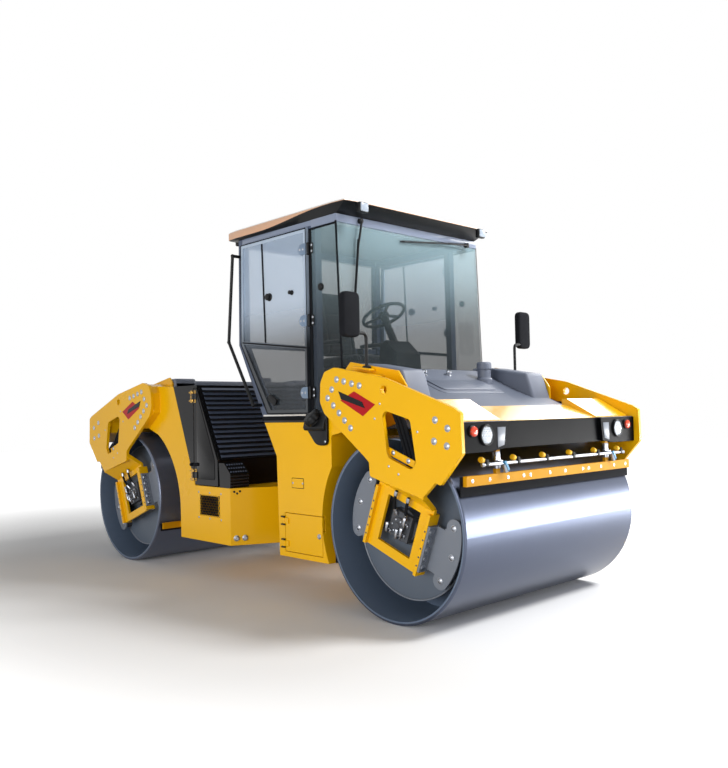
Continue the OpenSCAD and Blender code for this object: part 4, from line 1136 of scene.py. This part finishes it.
def dress_door(side, name, screw):
    """Hinge plates, knuckles, seals and grips that ride on a door."""
    plates, seals, grips, knuckles = fresh(4)
    spots = []
    out = (0, side, 0)
    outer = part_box("door_left")[1].y
    face, inner = side * outer, side * (outer - 0.010)
    for z in HINGE_HEIGHTS:
        # D-shaped plate: straight along the hinge, round on the pane
        arc = [math.pi * k / 16 for k in range(17)]
        ring = [(HINGE_X - 0.058 - HINGE_ROUND * math.sin(a), face, z + HINGE_ROUND * math.cos(a))
                for a in arc]
        ring += at_y([(HINGE_X - 0.014, z - HINGE_ROUND), (HINGE_X - 0.014, z + HINGE_ROUND)], face)
        slab(plates, ring, (0, side * 0.006, 0))
        lathe(knuckles, KNUCKLE, (HINGE_X, side * HINGE_Y, z - 0.05), UP, 20)
        spots += [((HINGE_X - 0.062 + dx, face + side * 0.006, z), out) for dx in (-0.022, 0.018)]
    strip(seals, at_y([(0.215, 2.930), (0.249, 2.075)], inner), 0.014, (0, side * 0.008, 0))
    strip(seals, at_y(DOOR_LINE + DOOR_LINE[:1], face), 0.009, (0, side * 0.0015, 0))
    strip(seals, at_y([(-0.075, 2.101), (HINGE_X - 0.020, 1.995)], face), 0.012, (0, side * 0.0015, 0))
    for x, z, reach in GRIPS:
        lathe(grips, [(reach * share, along) for share, along in GRIP], (x, inner, z), out, 24)
    oval(grips, (0.345, inner, 1.585), 0.060, 0.030, (0, side * 0.022, 0), 0.9, (0.9, 0, -0.44),
         (0.44, 0, 0.9))
    soften(plates, 0.002)
    soften(grips, 0.002)
    piece(name + "_hinge_plates", plates, "grey_blue", name)
    piece(name + "_knuckles", knuckles, "plastic", name)
    piece(name + "_seals", seals, "rubber", name)
    piece(name + "_grips", grips, "plastic", name)
    bolts(name + "_bolts", spots, screw, name)


def fit_wipers():
    """Two-link wipers that stand off the windscreen."""
    wipers = bmesh.new()
    behind = Vector((-0.014, 0, 0))
    for route in WIPERS:
        pivot, knee, tip = [Vector((screen_x(z) + off, y, z)) for (y, z), off in zip(route, WIPER_OFF)]
        lathe(wipers, WIPER_FOOT, (screen_x(pivot.z) + 0.002, pivot.y, pivot.z), ALONG, 20)
        tube(wipers, (pivot, knee), 0.009, 8)
        tube(wipers, (knee, tip), 0.006, 8)
        middle, reach = (knee + tip) / 2, (tip - knee) * 0.55
        strip(wipers, [middle - reach + behind, middle + reach + behind], 0.014, (0.010, 0, 0))
    piece("wipers", wipers, "plastic", FRONT)


VOXELS = (0.010, 0.0075)
# Half width of a sewn groove
GROOVE = 0.010
# Outlines of the pads as X and Z over the underside of the cushion, with their inner or right Y
SEAT_LINE = ((0.195, 0.004), (0.675, 0.004), (0.675, 0.100), (0.300, 0.092), (0.195, 0.092))
BACK_LINE = ((0.100, 0.122), (0.240, 0.122), (0.128, 0.738), (0.038, 0.720))
REST_LINE = ((0.190, 0.206), (0.550, 0.206), (0.550, 0.243), (0.190, 0.243))
SEAT_Y, BACK_Y, REST_Y = -0.230, -0.218, 0.264


def pad(name, ring, push, cap, *nodes, grooves=()):
    """Padded cover: a closed form that is remeshed, blown up by cloth pressure and sewn into channels."""
    bm = bmesh.new()
    slab(bm, ring, push)
    soften(bm, 0.02, 3)
    bmesh.ops.recalc_face_normals(bm, faces=bm.faces[:])
    mesh = bpy.data.meshes.new(name)
    bm.to_mesh(mesh)
    bm.free()
    obj = bpy.data.objects.new(name, mesh)
    bpy.context.scene.collection.objects.link(obj)
    remesh = obj.modifiers.new("remesh", "REMESH")
    remesh.mode = "VOXEL"
    remesh.voxel_size = VOXELS[1]
    graph = bpy.context.evaluated_depsgraph_get()
    dense = bpy.data.meshes.new_from_object(obj.evaluated_get(graph))
    obj.modifiers.clear()
    obj.data = dense
    floor_z = min(v.co.z for v in dense.vertices)
    swell(obj, cap)
    normals = [v.normal.copy() for v in dense.vertices]
    for vertex, normal in zip(dense.vertices, normals):
        place = vertex.co.copy()
        for axis, at, depth in grooves:
            near = abs(abs(place[axis]) - at) if axis == 1 else abs(place[axis] - at)
            place -= normal * depth * math.exp(-(near / GROOVE) ** 2)
        place.z = max(place.z, floor_z)
        vertex.co = place
    subdivide = obj.modifiers.new("smooth", "SUBSURF")
    subdivide.levels = subdivide.render_levels = 1
    graph = bpy.context.evaluated_depsgraph_get()
    final = bpy.data.meshes.new_from_object(obj.evaluated_get(graph))
    bpy.data.objects.remove(obj)
    final.shade_smooth()
    made = settle(name, final, ("fabric",), FRONT, FINISH_SLOT["fabric"], *nodes)
    return made


def swell(obj, cap):
    """Cloth under inner pressure for 20 frames; no point moves further than the cap."""
    rest = [v.co.copy() for v in obj.data.vertices]
    cloth = obj.modifiers.new("cloth", "CLOTH")
    cloth.settings.use_pressure = True
    cloth.settings.uniform_pressure_force = 4
    cloth.settings.effector_weights.gravity = 0
    cloth.settings.quality = 3
    scene = bpy.context.scene
    for number in range(1, 21):
        scene.frame_set(number)
    graph = bpy.context.evaluated_depsgraph_get()
    moved = [v.co.copy() for v in obj.evaluated_get(graph).data.vertices]
    obj.modifiers.remove(cloth)
    scene.frame_set(1)
    for vertex, old, new in zip(obj.data.vertices, rest, moved):
        step = new - old
        vertex.co = old + step * min(1, cap / max(step.length, 1e-9))


class ROLLER_OT_seat(bpy.types.Operator):
    """Padded seat, backrest and armrests"""
    bl_idname = "roller.seat"
    bl_label = "Seat"

    def execute(self, context):
        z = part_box("seat_cushions")[0].z
        # Grooves: axis across them, place on it, depth
        pad("seat_cushion", at_y(SEAT_LINE, SEAT_Y, z), (0, 0.460, 0), 0.012, "seat_cushions",
            grooves=((1, 0.145, 0.010), (0, 0.52, 0.006), (0, 0.36, 0.006)))
        pad("seat_back", at_y(BACK_LINE, BACK_Y, z), (0, 0.436, 0), 0.014,
            grooves=((1, 0.140, 0.010), (2, z + 0.33, 0.006), (2, z + 0.52, 0.006)))
        stays = bmesh.new()
        for side, hand in HANDS:
            pad("armrest_" + hand, at_y(REST_LINE, side * REST_Y, z), (0, side * 0.057, 0), 0.006)
            block(stays, (0.185, side * 0.246, z + 0.02), (0.235, side * 0.286, z + 0.206))
        soften(stays, 0.006)
        piece("armrest_stays", stays, "plastic", FRONT)
        return {"FINISHED"}


# Outline of the filler pocket, as X and Z over its deck
POCKET = ((1.240, -0.213), (1.110, -0.213), (0.975, -0.060), (1.000, 0), (1.080, 0.045), (1.240, 0.045))
# Section of the ledge, as distance out from the body and Z over the deck, and its start and length in X
LEDGE = ((0, -0.100), (0.044, -0.100), (0.056, -0.076), (0.022, 0.035), (0, 0.040))
LEDGE_X, LEDGE_LONG = 0.990, 0.242
# Filler cap: rings as shares of its radius and distance along its axis; six lobes
CAP_ROWS = ((0.90, 0.012), (1.0, 0.020), (1.0, 0.052), (0.93, 0.066), (0.78, 0.074), (0.30, 0.078))
CAP_R, CAP_STEPS, CAP_LOBES, LOBE_DEPTH = 0.076, 72, 6, 0.075


class ROLLER_OT_filler(bpy.types.Operator):
    """Fuel filler pocket with its ledge, lobed cap and screws"""
    bl_idname = "roller.filler"
    bl_label = "Fuel filler"

    def execute(self, context):
        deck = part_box("fuel_filler")[1].z - 0.045
        shell, cap = fresh(2)
        slab(shell, fillet(at_y(POCKET, -BODY, deck), 0.045, closed=True), (0, -0.028, 0))
        slab(shell, [(LEDGE_X, -BODY - out, deck + z) for out, z in LEDGE], (LEDGE_LONG, 0, 0))
        soften(shell, 0.010, 3)
        piece("filler_pocket", shell, "plastic", FRONT, "fuel_filler")
        axis = Vector((-0.33, -0.62, 0.71)).normalized()
        foot = Vector((1.112, -BODY - 0.020, deck - 0.030))
        turn = axis.to_track_quat("Z", "Y")
        rows = []
        for share, along in CAP_ROWS:
            row = []
            for k in range(CAP_STEPS):
                angle = 2 * math.pi * k / CAP_STEPS
                lobe = 1 - LOBE_DEPTH * (0.5 + 0.5 * math.cos(CAP_LOBES * angle)) ** 3
                radius = CAP_R * share * (lobe if share > 0.5 else 1)
                point = Vector((radius * math.cos(angle), radius * math.sin(angle), along))
                row.append(cap.verts.new(foot + turn @ point))
            rows.append(row)
        join_rows(cap, rows)
        cap.faces.new(rows[0])
        cap.faces.new(rows[-1])
        lathe(cap, ((0.060, 0.0), (0.060, 0.014)), foot, axis, 36)
        piece("filler_cap", cap, "plastic", FRONT, crease=40)
        spots = [((1.222, -BODY - 0.028, z), (0, -1, 0)) for z in (1.36, 1.25)]
        bolts("filler_screws", spots, context.scene.roller_sizes.screw, FRONT)
        return {"FINISHED"}


TANK_LOW, TANK_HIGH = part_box("front_tank")
TANK_BACK = TANK_LOW.x - AXLE_X
# Sections of the tank and of its side ridges, as X from the drum axis and Z from the drum top
TANK_LINE = ((TANK_BACK, 0.04), (TANK_BACK, 0.512), (-0.59, 0.519), (0.13, 0.207), (0.295, 0.183),
             (0.298, 0.07), (0.25, 0.04))
RIDGE_LINE = ((TANK_BACK, 0.05), (TANK_BACK, 0.538), (-0.43, 0.532), (-0.05, 0.468), (0.038, 0.2),
              (0.038, 0.05))
# The sloped lid: its upper end, its length, its fall and its outward direction
LID_TOP, LID_LONG = Vector((-0.59, 0, 0.517)), 0.785
LID_SLOPE, LID_OUT = Vector((0.72, 0, -0.312)).normalized(), Vector((0.312, 0, 0.72)).normalized()
# Raised panels on the lid: place as a share of it, half width, half length, height over it
LID_PANELS = ((0.52, 0.40, 0.150, -0.004), (0.50, 0.34, 0.105, 0.004))
TANK_NECK = ((0.074, 0.02), (0.072, 0.065), (0.058, 0.080), (0.055, 0.150), (0.063, 0.154), (0.063, 0.200),
             (0.054, 0.213), (0, 0.214))
TANK_KNOB = ((0.030, 0), (0.030, 0.012), (0.016, 0.016), (0.016, 0.028), (0.024, 0.034), (0.022, 0.046),
             (0, 0.048))


class ROLLER_OT_tanks(bpy.types.Operator):
    """Moulded sprinkler tanks with rounded edges, raised panels, filler caps and knobs"""
    bl_idname = "roller.tanks"
    bl_label = "Sprinkler tanks"

    def execute(self, context):
        width = TANK_HIGH.y
        for end, name in ENDS:
            body = name + "_frame"
            shell, panel, neck, knobs = fresh(4)
            slab(shell, corner_ring(TANK_LINE, end, -1, width), (0, 2 * width, 0))
            for side in SIDES:
                slab(shell, corner_ring(RIDGE_LINE, end, side, width - 0.245), (0, side * 0.2445, 0))
            soften(shell, 0.022, 3)
            out = Vector((end * LID_OUT.x, 0, LID_OUT.z))
            for share, half_y, half_u, height in LID_PANELS:
                centre = LID_TOP + LID_SLOPE * LID_LONG * share + LID_OUT * height
                oval(panel, corner_point(end, 1, centre.x, 0, centre.z), half_u, half_y, out * 0.010, 0.5,
                     (end * LID_SLOPE.x, 0, LID_SLOPE.z), (0, 1, 0))
            soften(panel, 0.004)
            lathe(neck, TANK_NECK, corner_point(end, 1, -0.350, width - 0.435, 0.36), UP, 40)
            for y in (-0.20, 0.10):
                lathe(knobs, TANK_KNOB, corner_point(end, 1, -0.46, y, 0.455), out, 24)
            piece(name + "_tank_shell", shell, "tank", body, name + "_tank")
            piece(name + "_tank_panel", panel, "tank", body)
            piece(name + "_tank_neck", neck, "tank", body, slot="black_plastic")
            piece(name + "_tank_knobs", knobs, "zinc", body)
        return {"FINISHED"}


# Blank badge plates on a side plate: corners as X from the drum axis and Z from the drum top
BADGE = ((-0.271, 0.316), (-0.059, 0.218), (-0.183, 0.138), (-0.416, 0.254))
# Corners of the dark cover on a badge, as shares of the badge along and down from its first corner
BADGE_COVER = ((-0.40, 0.55), (0.60, 0.30), (0.90, 0.55), (-0.03, 0.90))
# Small screws round the plate window, the hose clamp in it and the clamp's bolts, in the badge's measure
WINDOW_SCREWS = ((-0.015, 0.222), (-0.068, 0.120), (0.060, -0.205), (0.150, -0.255), (0.330, 0.030))
CLAMP = ((0.030, -0.075), (0.275, -0.165), (0.262, -0.212), (0.018, -0.122))
CLAMP_BOLTS = ((0.075, -0.115), (0.215, -0.166))
# Turned rim of a lifting hole
LIFT_RIM = ((0.0300, -0.004), (0.0300, 0.0025), (0.034, 0.003), (0.041, 0.001), (0.041, -0.004))


class ROLLER_OT_plate_trim(bpy.types.Operator):
    """Blank badge plates, screws, clamps in the windows and rims of the lifting holes"""
    bl_idname = "roller.plate_trim"
    bl_label = "Side plate trim"

    def execute(self, context):
        sizes = context.scene.roller_sizes
        clamp_y = PLATE_IN - 0.001
        for end, name in ENDS:
            body = name + "_frame"
            dark, stripe, clamp, rims = fresh(4)
            spots, heads = [], []
            for side in SIDES:
                out = (0, side, 0)
                corners = corner_ring(BADGE, end, side, PLATE)
                slab(stripe, corners, (0, side * 0.002, 0))
                along, down = corners[1] - corners[0], corners[3] - corners[0]
                slab(dark, [corners[0] + along * u + down * v for u, v in BADGE_COVER], (0, side * 0.004, 0))
                slab(clamp, corner_ring(CLAMP, end, side, clamp_y), (0, -side * 0.012, 0))
                heads += [(spot, out) for spot in corner_ring(CLAMP_BOLTS, end, side, clamp_y)]
                spots += [(spot, out) for spot in corner_ring(WINDOW_SCREWS, end, side, PLATE)]
                lathe(rims, LIFT_RIM, corner_point(end, side, 0.027, PLATE, 0.317), out, 40)
            soften(clamp, 0.003)
            piece(name + "_badges", dark, "black", body)
            piece(name + "_badge_stripes", stripe, "red_film", body)
            piece(name + "_hose_clamps", clamp, "yellow", body)
            piece(name + "_lift_rims", rims, "yellow", body)
            bolts(name + "_clamp_bolts", heads, sizes.bolt * 0.75, body)
            bolts(name + "_window_screws", spots, sizes.screw * 0.9, body)
        return {"FINISHED"}


# Turned parts of a travel motor: cover, coupling, its nut, hose ferrules at the motor and at the leg's top
MOTOR_COVER = ((0.062, -0.01), (0.062, 0.010), (0.054, 0.016), (0.030, 0.016), (0.026, 0.024), (0, 0.025))
COUPLING = ((0.016, -0.004), (0.016, 0.014), (0.012, 0.016), (0.012, 0.030))
COUPLING_NUT = ((0.0145, 0), (0.0145, 0.020), (0.011, 0.024))
FERRULE = ((0.0, -0.010), (0.0145, -0.010), (0.0145, 0.016), (0.0125, 0.020), (0.0125, 0.040), (0.0, 0.040))
TOP_FERRULE = ((0.0, 0), (0.0145, 0), (0.0145, 0.028), (0.0125, 0.034), (0.0, 0.034))
# Ferrule of a hose in the plate window
WINDOW_FERRULE = ((0.0, 0), (0.0155, 0), (0.0155, 0.030), (0.0135, 0.034), (0.0135, 0.060), (0.0, 0.060))
# Turned face and rim of a drive disc
DISC_FACE = ((0.130, 0), (0.130, 0.002), (0.500, 0.002), (0.502, 0))
DISC_RIM = ((0.503, -0.004), (0.503, 0.004), (0.508, 0.007), (0.514, 0.006), (0.516, -0.004))
# Couplings, as distances across and along the leg from the drum axis
COUPLINGS = ((0.058, -0.030), (0.066, 0.050), (-0.078, -0.045), (0.020, -0.055))
COVER_BOLTS_R = 0.047
# Screws of a leg's flanges, as distance across the leg, and their first place and pitch along it
FLANGE_ACROSS, FLANGE_FIRST, FLANGE_PITCH = 0.2575, -0.145, 0.0625
# Flange diameters of the motor bolts and flange screws
MOTOR_BOLT, FLANGE_SCREW = 0.015, 0.014


class ROLLER_OT_motors(bpy.types.Operator):
    """Covers, couplings and hose ferrules of the travel motors in the drum legs"""
    bl_idname = "roller.motors"
    bl_label = "Travel motors"

    def execute(self, context):
        leg_y = DRUM_END - 0.080
        motor_y = leg_y + 0.012
        for end, name in ENDS:
            body = name + "_frame"
            covers, steel, discs, rims = fresh(4)
            spots, holes = [], []
            across, along = leg_axes(end)
            for side in SIDES:
                out = Vector((0, side, 0))
                centre = leg_point(end, side, -0.015, motor_y, 0.015)
                lathe(covers, MOTOR_COVER, centre, out, 32)
                for angle in [math.pi * k / 3 for k in range(6)]:
                    aside = (across * math.cos(angle) + along * math.sin(angle)) * COVER_BOLTS_R
                    spots.append((centre + aside + out * 0.016, out))
                for u, v in COUPLINGS:
                    foot = leg_point(end, side, u, motor_y, v)
                    lathe(steel, COUPLING, foot, out, 6)
                    bend = [foot + out * 0.026, foot + out * 0.040, foot + out * 0.046 + along * 0.020,
                            foot + out * 0.046 + along * 0.055]
                    tube(steel, fillet(bend, 0.014), 0.0095, 12)
                    lathe(steel, COUPLING_NUT, bend[-1] - along * 0.012, along, 6)
                for u in SIDES:
                    tip = leg_point(end, side, u * 0.050, leg_y + 0.022, 0.098)
                    back = leg_point(end, side, u * 0.054, leg_y + 0.045, 0.135) - tip
                    lathe(steel, FERRULE, tip, back, 12)
                    top = leg_point(end, side, u * 0.060, leg_y + 0.065, 0.262)
                    lathe(steel, TOP_FERRULE, top, -along, 12)
                for v in [FLANGE_FIRST + FLANGE_PITCH * k for k in range(5)]:
                    holes += [(leg_point(end, side, u * FLANGE_ACROSS, leg_y + 0.055, v), out)
                              for u in SIDES]
                for k in range(3):
                    x = AXLE_X + 0.234 + 0.034 * (k - 1)
                    lathe(steel, WINDOW_FERRULE, (end * x, side * (PLATE_IN - 0.028), AXLE_Z + 0.352),
                          (-end * 0.08, 0, 1), 12)
                disc = (end * AXLE_X, side * (DRUM_END - 0.195), AXLE_Z)
                lathe(discs, DISC_FACE, disc, out, 96)
                lathe(rims, DISC_RIM, disc, out, 96)
            piece(name + "_disc_faces", discs, "disc", body)
            piece(name + "_disc_rims", rims, "grey", body)
            piece(name + "_motor_covers", covers, "iron", body)
            piece(name + "_motor_couplings", steel, "zinc", body, crease=40)
            bolts(name + "_flange_screws", holes, FLANGE_SCREW, body, "iron")
            bolts(name + "_motor_bolts", spots, MOTOR_BOLT, body)
        return {"FINISHED"}


STEPS_LOW, STEPS_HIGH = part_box("steps")
# Heights of the rear deck, of the bend in the louvre panel over it, and of the panel's top
DECK = STEPS_LOW.z
KNEE = DECK + 0.237
HOOD_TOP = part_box("hood")[1].z - 0.025
BLADES = 15
# Perforated vent sheet: its edges in X and Z, and the pitch of its holes
VENT_X, VENT_Z, VENT_CELL = (-0.564, -0.244), (0.559, 0.748), 0.026
# Direction of the slanted tank corner, seen on the left, and its first point in X
SLANT = Vector((0.22, 0.45, 0)).normalized()
SLANT_X = -0.080
# Turned drain plug, and a flat black disc that paints the shade in a drain hole, with their places along the
# corner and heights
DRAIN_PLUG = ((0.026, 0), (0.026, 0.004), (0.018, 0.006), (0.018, 0.016), (0.014, 0.020), (0, 0.020))
DRAIN_HOLE = ((0.010, 0), (0.010, 0.001), (0, 0.001))
DRAIN_PLUGS = ((0.050, 0.392), (0.125, 0.392))
DRAIN_HOLES = ((0.035, 0.795), (0.060, 0.780), (0.085, 0.797))
# Turned knob of a latch, and its height
LATCH_KNOB = ((0.016, 0), (0.016, 0.018), (0.012, 0.022), (0, 0.022))
LATCH_Z = 1.015
# Hinge leaves of an engine door, as edges in X on the frame and on the door
FRAME_LEAF, DOOR_LEAF = (-0.704, -0.670), (-0.644, -0.612)
LEAF_SCREW = 0.010
# Raised panel of an engine door, as X and Z
DOOR_PANEL = ((-0.315, DECK + 0.060), (-0.318, KNEE + 0.005), (-0.590, HOOD_TOP - 0.060),
              (-0.602, HOOD_TOP - 0.060), (-0.602, DECK + 0.060))


class ROLLER_OT_hood_trim(bpy.types.Operator):
    """Louvre blades that paint a sky reflection on the black grille, ribbed steps, door latches, mesh panels
    over painted shade and drain plugs of the rear frame
    """
    bl_idname = "roller.hood_trim"
    bl_label = "Hood trim"

    def execute(self, context):
        screw = context.scene.roller_sizes.screw
        dress_steps()
        dress_vents(screw)
        leaves, knobs = fresh(2)
        marks = []
        for side, hand in HANDS:
            name = "engine_door_" + hand
            face, out = side * BODY, (0, side, 0)
            latch, panel, leaf = fresh(3)
            dots = []
            block(latch, (-0.640, face, LATCH_Z - 0.012), (-0.580, face + side * 0.014, LATCH_Z + 0.012))
            lathe(latch, LATCH_KNOB, (-0.625, face, LATCH_Z), out, 16)
            lathe(knobs, LATCH_KNOB, (-0.690, face, LATCH_Z), out, 16)
            for z in (DECK + 0.095, HOOD_TOP - 0.079):
                for (low, high), bm, screws in ((FRAME_LEAF, leaves, marks), (DOOR_LEAF, leaf, dots)):
                    block(bm, (low, face, z - 0.056), (high, face + side * 0.005, z + 0.056))
                    screws += [((x, face + side * 0.005, z + dz), out) for x in (low + 0.009, high - 0.009)
                               for dz in (-0.042, -0.014, 0.014, 0.042)]
            slab(panel, fillet(at_y(DOOR_PANEL, face), 0.03, closed=True), (0, side * 0.004, 0))
            for bm, width in ((latch, 0.004), (leaf, 0.0015), (panel, 0.0018)):
                soften(bm, width)
            piece(name + "_leaves", leaf, "gold", name)
            bolts(name + "_leaf_screws", dots, LEAF_SCREW, name, "iron", "zinc_steel")
            piece(name + "_latch", latch, "rubber", name)
            piece(name + "_panel", panel, "black", name)
        soften(leaves, 0.0015)
        piece("frame_leaves", leaves, "gold", REAR)
        piece("frame_knobs", knobs, "rubber", REAR)
        bolts("frame_leaf_screws", marks, LEAF_SCREW, REAR, "iron", "zinc_steel")
        return {"FINISHED"}


def dress_steps():
    """Louvre blades, which are blue-grey slats that paint a reflection of the sky on the black grille, step
    ribs and step treads.
    """
    pitch = (HOOD_TOP - KNEE) / BLADES
    blades, ribs, treads = [], [], []
    for k in range(BLADES):
        rise = pitch * (k + 0.80)
        x = -(0.288 + 0.318 * rise / (HOOD_TOP - KNEE))
        blades.append(((x + 0.008, 0, KNEE + rise), (0.72, 0, 0.69)))
    for side in SIDES:
        middle = side * (STEPS_HIGH.y - 0.0975)
        ribs += [((-0.083, middle, DECK + 0.022 + 0.027 * k), ALONG) for k in range(4)]
        for share in [(row + 0.5) / 3 for row in range(3)]:
            treads += [((-0.084 - 0.092 * share, middle + (column - 3) * 0.026, DECK + 0.125 + 0.091 * share),
                        (0.70, 0, 0.71)) for column in range(7)]
    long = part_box("grille")[1].y * 2 - 0.05
    # Blue-grey slats on the black grille: painted reflection of the sky
    grow("louvre_blades_painted_reflection", slat_tree, blades, {"Length": long, "Width": pitch * 0.72, "Depth": 0.005},
         "blade", REAR)
    grow("step_ribs", slat_tree, ribs, {"Length": 0.190, "Width": 0.013, "Depth": 0.010}, "charcoal", REAR)
    grow("step_treads", stud_tree, treads, {"Sides": 8, "Radius": 0.008, "Length": 0.004}, "blade", REAR)


def dress_vents(screw):
    """Perforated vent sheets over a matt black sheet that paints the shade in their holes, drain plugs, and
    black discs that paint the shade in drain holes.
    """
    back, plugs, holes = fresh(3)
    cells, screws = [], []
    (low_x, high_x), (low_z, high_z) = VENT_X, VENT_Z
    for side in SIDES:
        face, aim = side * BODY, (0, side, 0)
        # Matt black sheet behind the perforations: painted shade seen through the holes
        block(back, (low_x, face - side * 0.001, low_z), (high_x, face + side * 0.0006, high_z))
        for row in range(8):
            for column in range(12):
                x = low_x + VENT_CELL * (0.55 + column + (row % 2) / 2)
                z = low_z + VENT_CELL * (0.62 + row * ROW)
                if x < high_x - VENT_CELL * 0.4 and z < high_z - VENT_CELL * 0.4:
                    cells.append(((x, face + side * 0.0012, z), aim))
        screws += [((x, face, z), aim) for x in (low_x - 0.02, (low_x + high_x) / 2, high_x + 0.02)
                   for z in (low_z - 0.02, high_z + 0.02)]
        ahead, out = Vector((SLANT.x, -side * SLANT.y, 0)), Vector((SLANT.y, side * SLANT.x, 0))
        drains = ((plugs, DRAIN_PLUG, DRAIN_PLUGS, 20), (holes, DRAIN_HOLE, DRAIN_HOLES, 16))
        for bm, profile, places, sides in drains:
            for along, z in places:
                lathe(bm, profile, Vector((SLANT_X, face, z)) + ahead * along, out, sides)
    piece("vent_backs_painted_shade", back, "rubber", REAR, slot="black_paint")
    grow("vent_sheets", lattice_tree, cells, {"Cell": VENT_CELL, "Bar": 0.0075, "Depth": 0.003},
         "yellow", REAR)
    bolts("vent_screws", screws, screw, REAR)
    piece("drain_plugs", plugs, "zinc", REAR)
    # Flat black discs: painted shade in the drain holes
    piece("drain_holes_painted_shade", holes, "rubber", REAR, slot="black_paint")


# Side covers: middle in X and Z, half length and half height of the cover and of the gap round it
COVER_X, COVER_Z = 0.855, 0.918
COVER, COVER_GAP = (0.0695, 0.0365), (0.074, 0.041)
HATCH_LOCK = ((0.020, 0), (0.020, 0.004), (0.014, 0.006), (0.014, 0.010), (0, 0.010))
LOCK_X = 1.105


class ROLLER_OT_front_trim(bpy.types.Operator):
    """Covers, hatch locks and screws on the front frame"""
    bl_idname = "roller.front_trim"
    bl_label = "Front frame trim"

    def execute(self, context):
        cover, gap = fresh(2)
        screws = []
        for side in SIDES:
            middle = (COVER_X, side * BODY, COVER_Z)
            oval(gap, middle, *COVER_GAP, (0, side * 0.001, 0), 0.2)
            oval(cover, middle, *COVER, (0, side * 0.002, 0), 0.2)
            screws += [((COVER_X + dx, side * (BODY + 0.002), COVER_Z), (0, side, 0))
                       for dx in (-0.060, 0.060)]
        piece("side_cover_gaps", gap, "rubber", FRONT)
        piece("side_covers", cover, "yellow", FRONT)
        bolts("side_cover_screws", screws, context.scene.roller_sizes.screw * 0.8, FRONT)
        for side, hand in HANDS:
            name = "hatch_" + hand
            low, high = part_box(name)
            lock = bmesh.new()
            lathe(lock, HATCH_LOCK, (LOCK_X, side * BODY, (low.z + high.z) / 2), (0, side, 0), 24)
            piece(name + "_lock", lock, "zinc", name)
        return {"FINISHED"}


OPERATORS = (ROLLER_OT_stage, ROLLER_OT_finishes, ROLLER_OT_bolts, ROLLER_OT_roof, ROLLER_OT_lamps,
             ROLLER_OT_spray, ROLLER_OT_mirrors, ROLLER_OT_cab_trim, ROLLER_OT_seat, ROLLER_OT_filler,
             ROLLER_OT_tanks, ROLLER_OT_plate_trim, ROLLER_OT_motors, ROLLER_OT_hood_trim,
             ROLLER_OT_front_trim)
STEPS = ("stage", "finishes", "bolts", "roof", "lamps", "spray", "mirrors", "cab_trim", "seat", "filler",
         "tanks", "plate_trim", "motors", "hood_trim", "front_trim")


class ROLLER_PT_panel(bpy.types.Panel):
    """Colours, sizes and building steps of the road roller"""
    bl_idname = "ROLLER_PT_panel"
    bl_label = "Road roller"
    bl_space_type = "VIEW_3D"
    bl_region_type = "UI"
    bl_category = "Roller"

    def draw(self, context):
        for group in (context.scene.roller_colours, context.scene.roller_sizes):
            column = self.layout.column()
            for name in group.__annotations__:
                column.prop(group, name)
        for step in STEPS:
            self.layout.operator("roller." + step)


CLASSES = (RollerColours, RollerSizes) + OPERATORS + (ROLLER_PT_panel,)


def register():
    """Registers the classes and the settings of the scene."""
    for cls in CLASSES:
        bpy.utils.register_class(cls)
    bpy.types.Scene.roller_colours = bpy.props.PointerProperty(type=RollerColours)
    bpy.types.Scene.roller_sizes = bpy.props.PointerProperty(type=RollerSizes)


def unregister():
    """Removes the settings and the classes."""
    del bpy.types.Scene.roller_sizes
    del bpy.types.Scene.roller_colours
    for cls in reversed(CLASSES):
        bpy.utils.unregister_class(cls)


def main():
    """Builds everything in order."""
    register()
    for step in STEPS:
        getattr(bpy.ops.roller, step)()


if __name__ == "__main__":
    main()
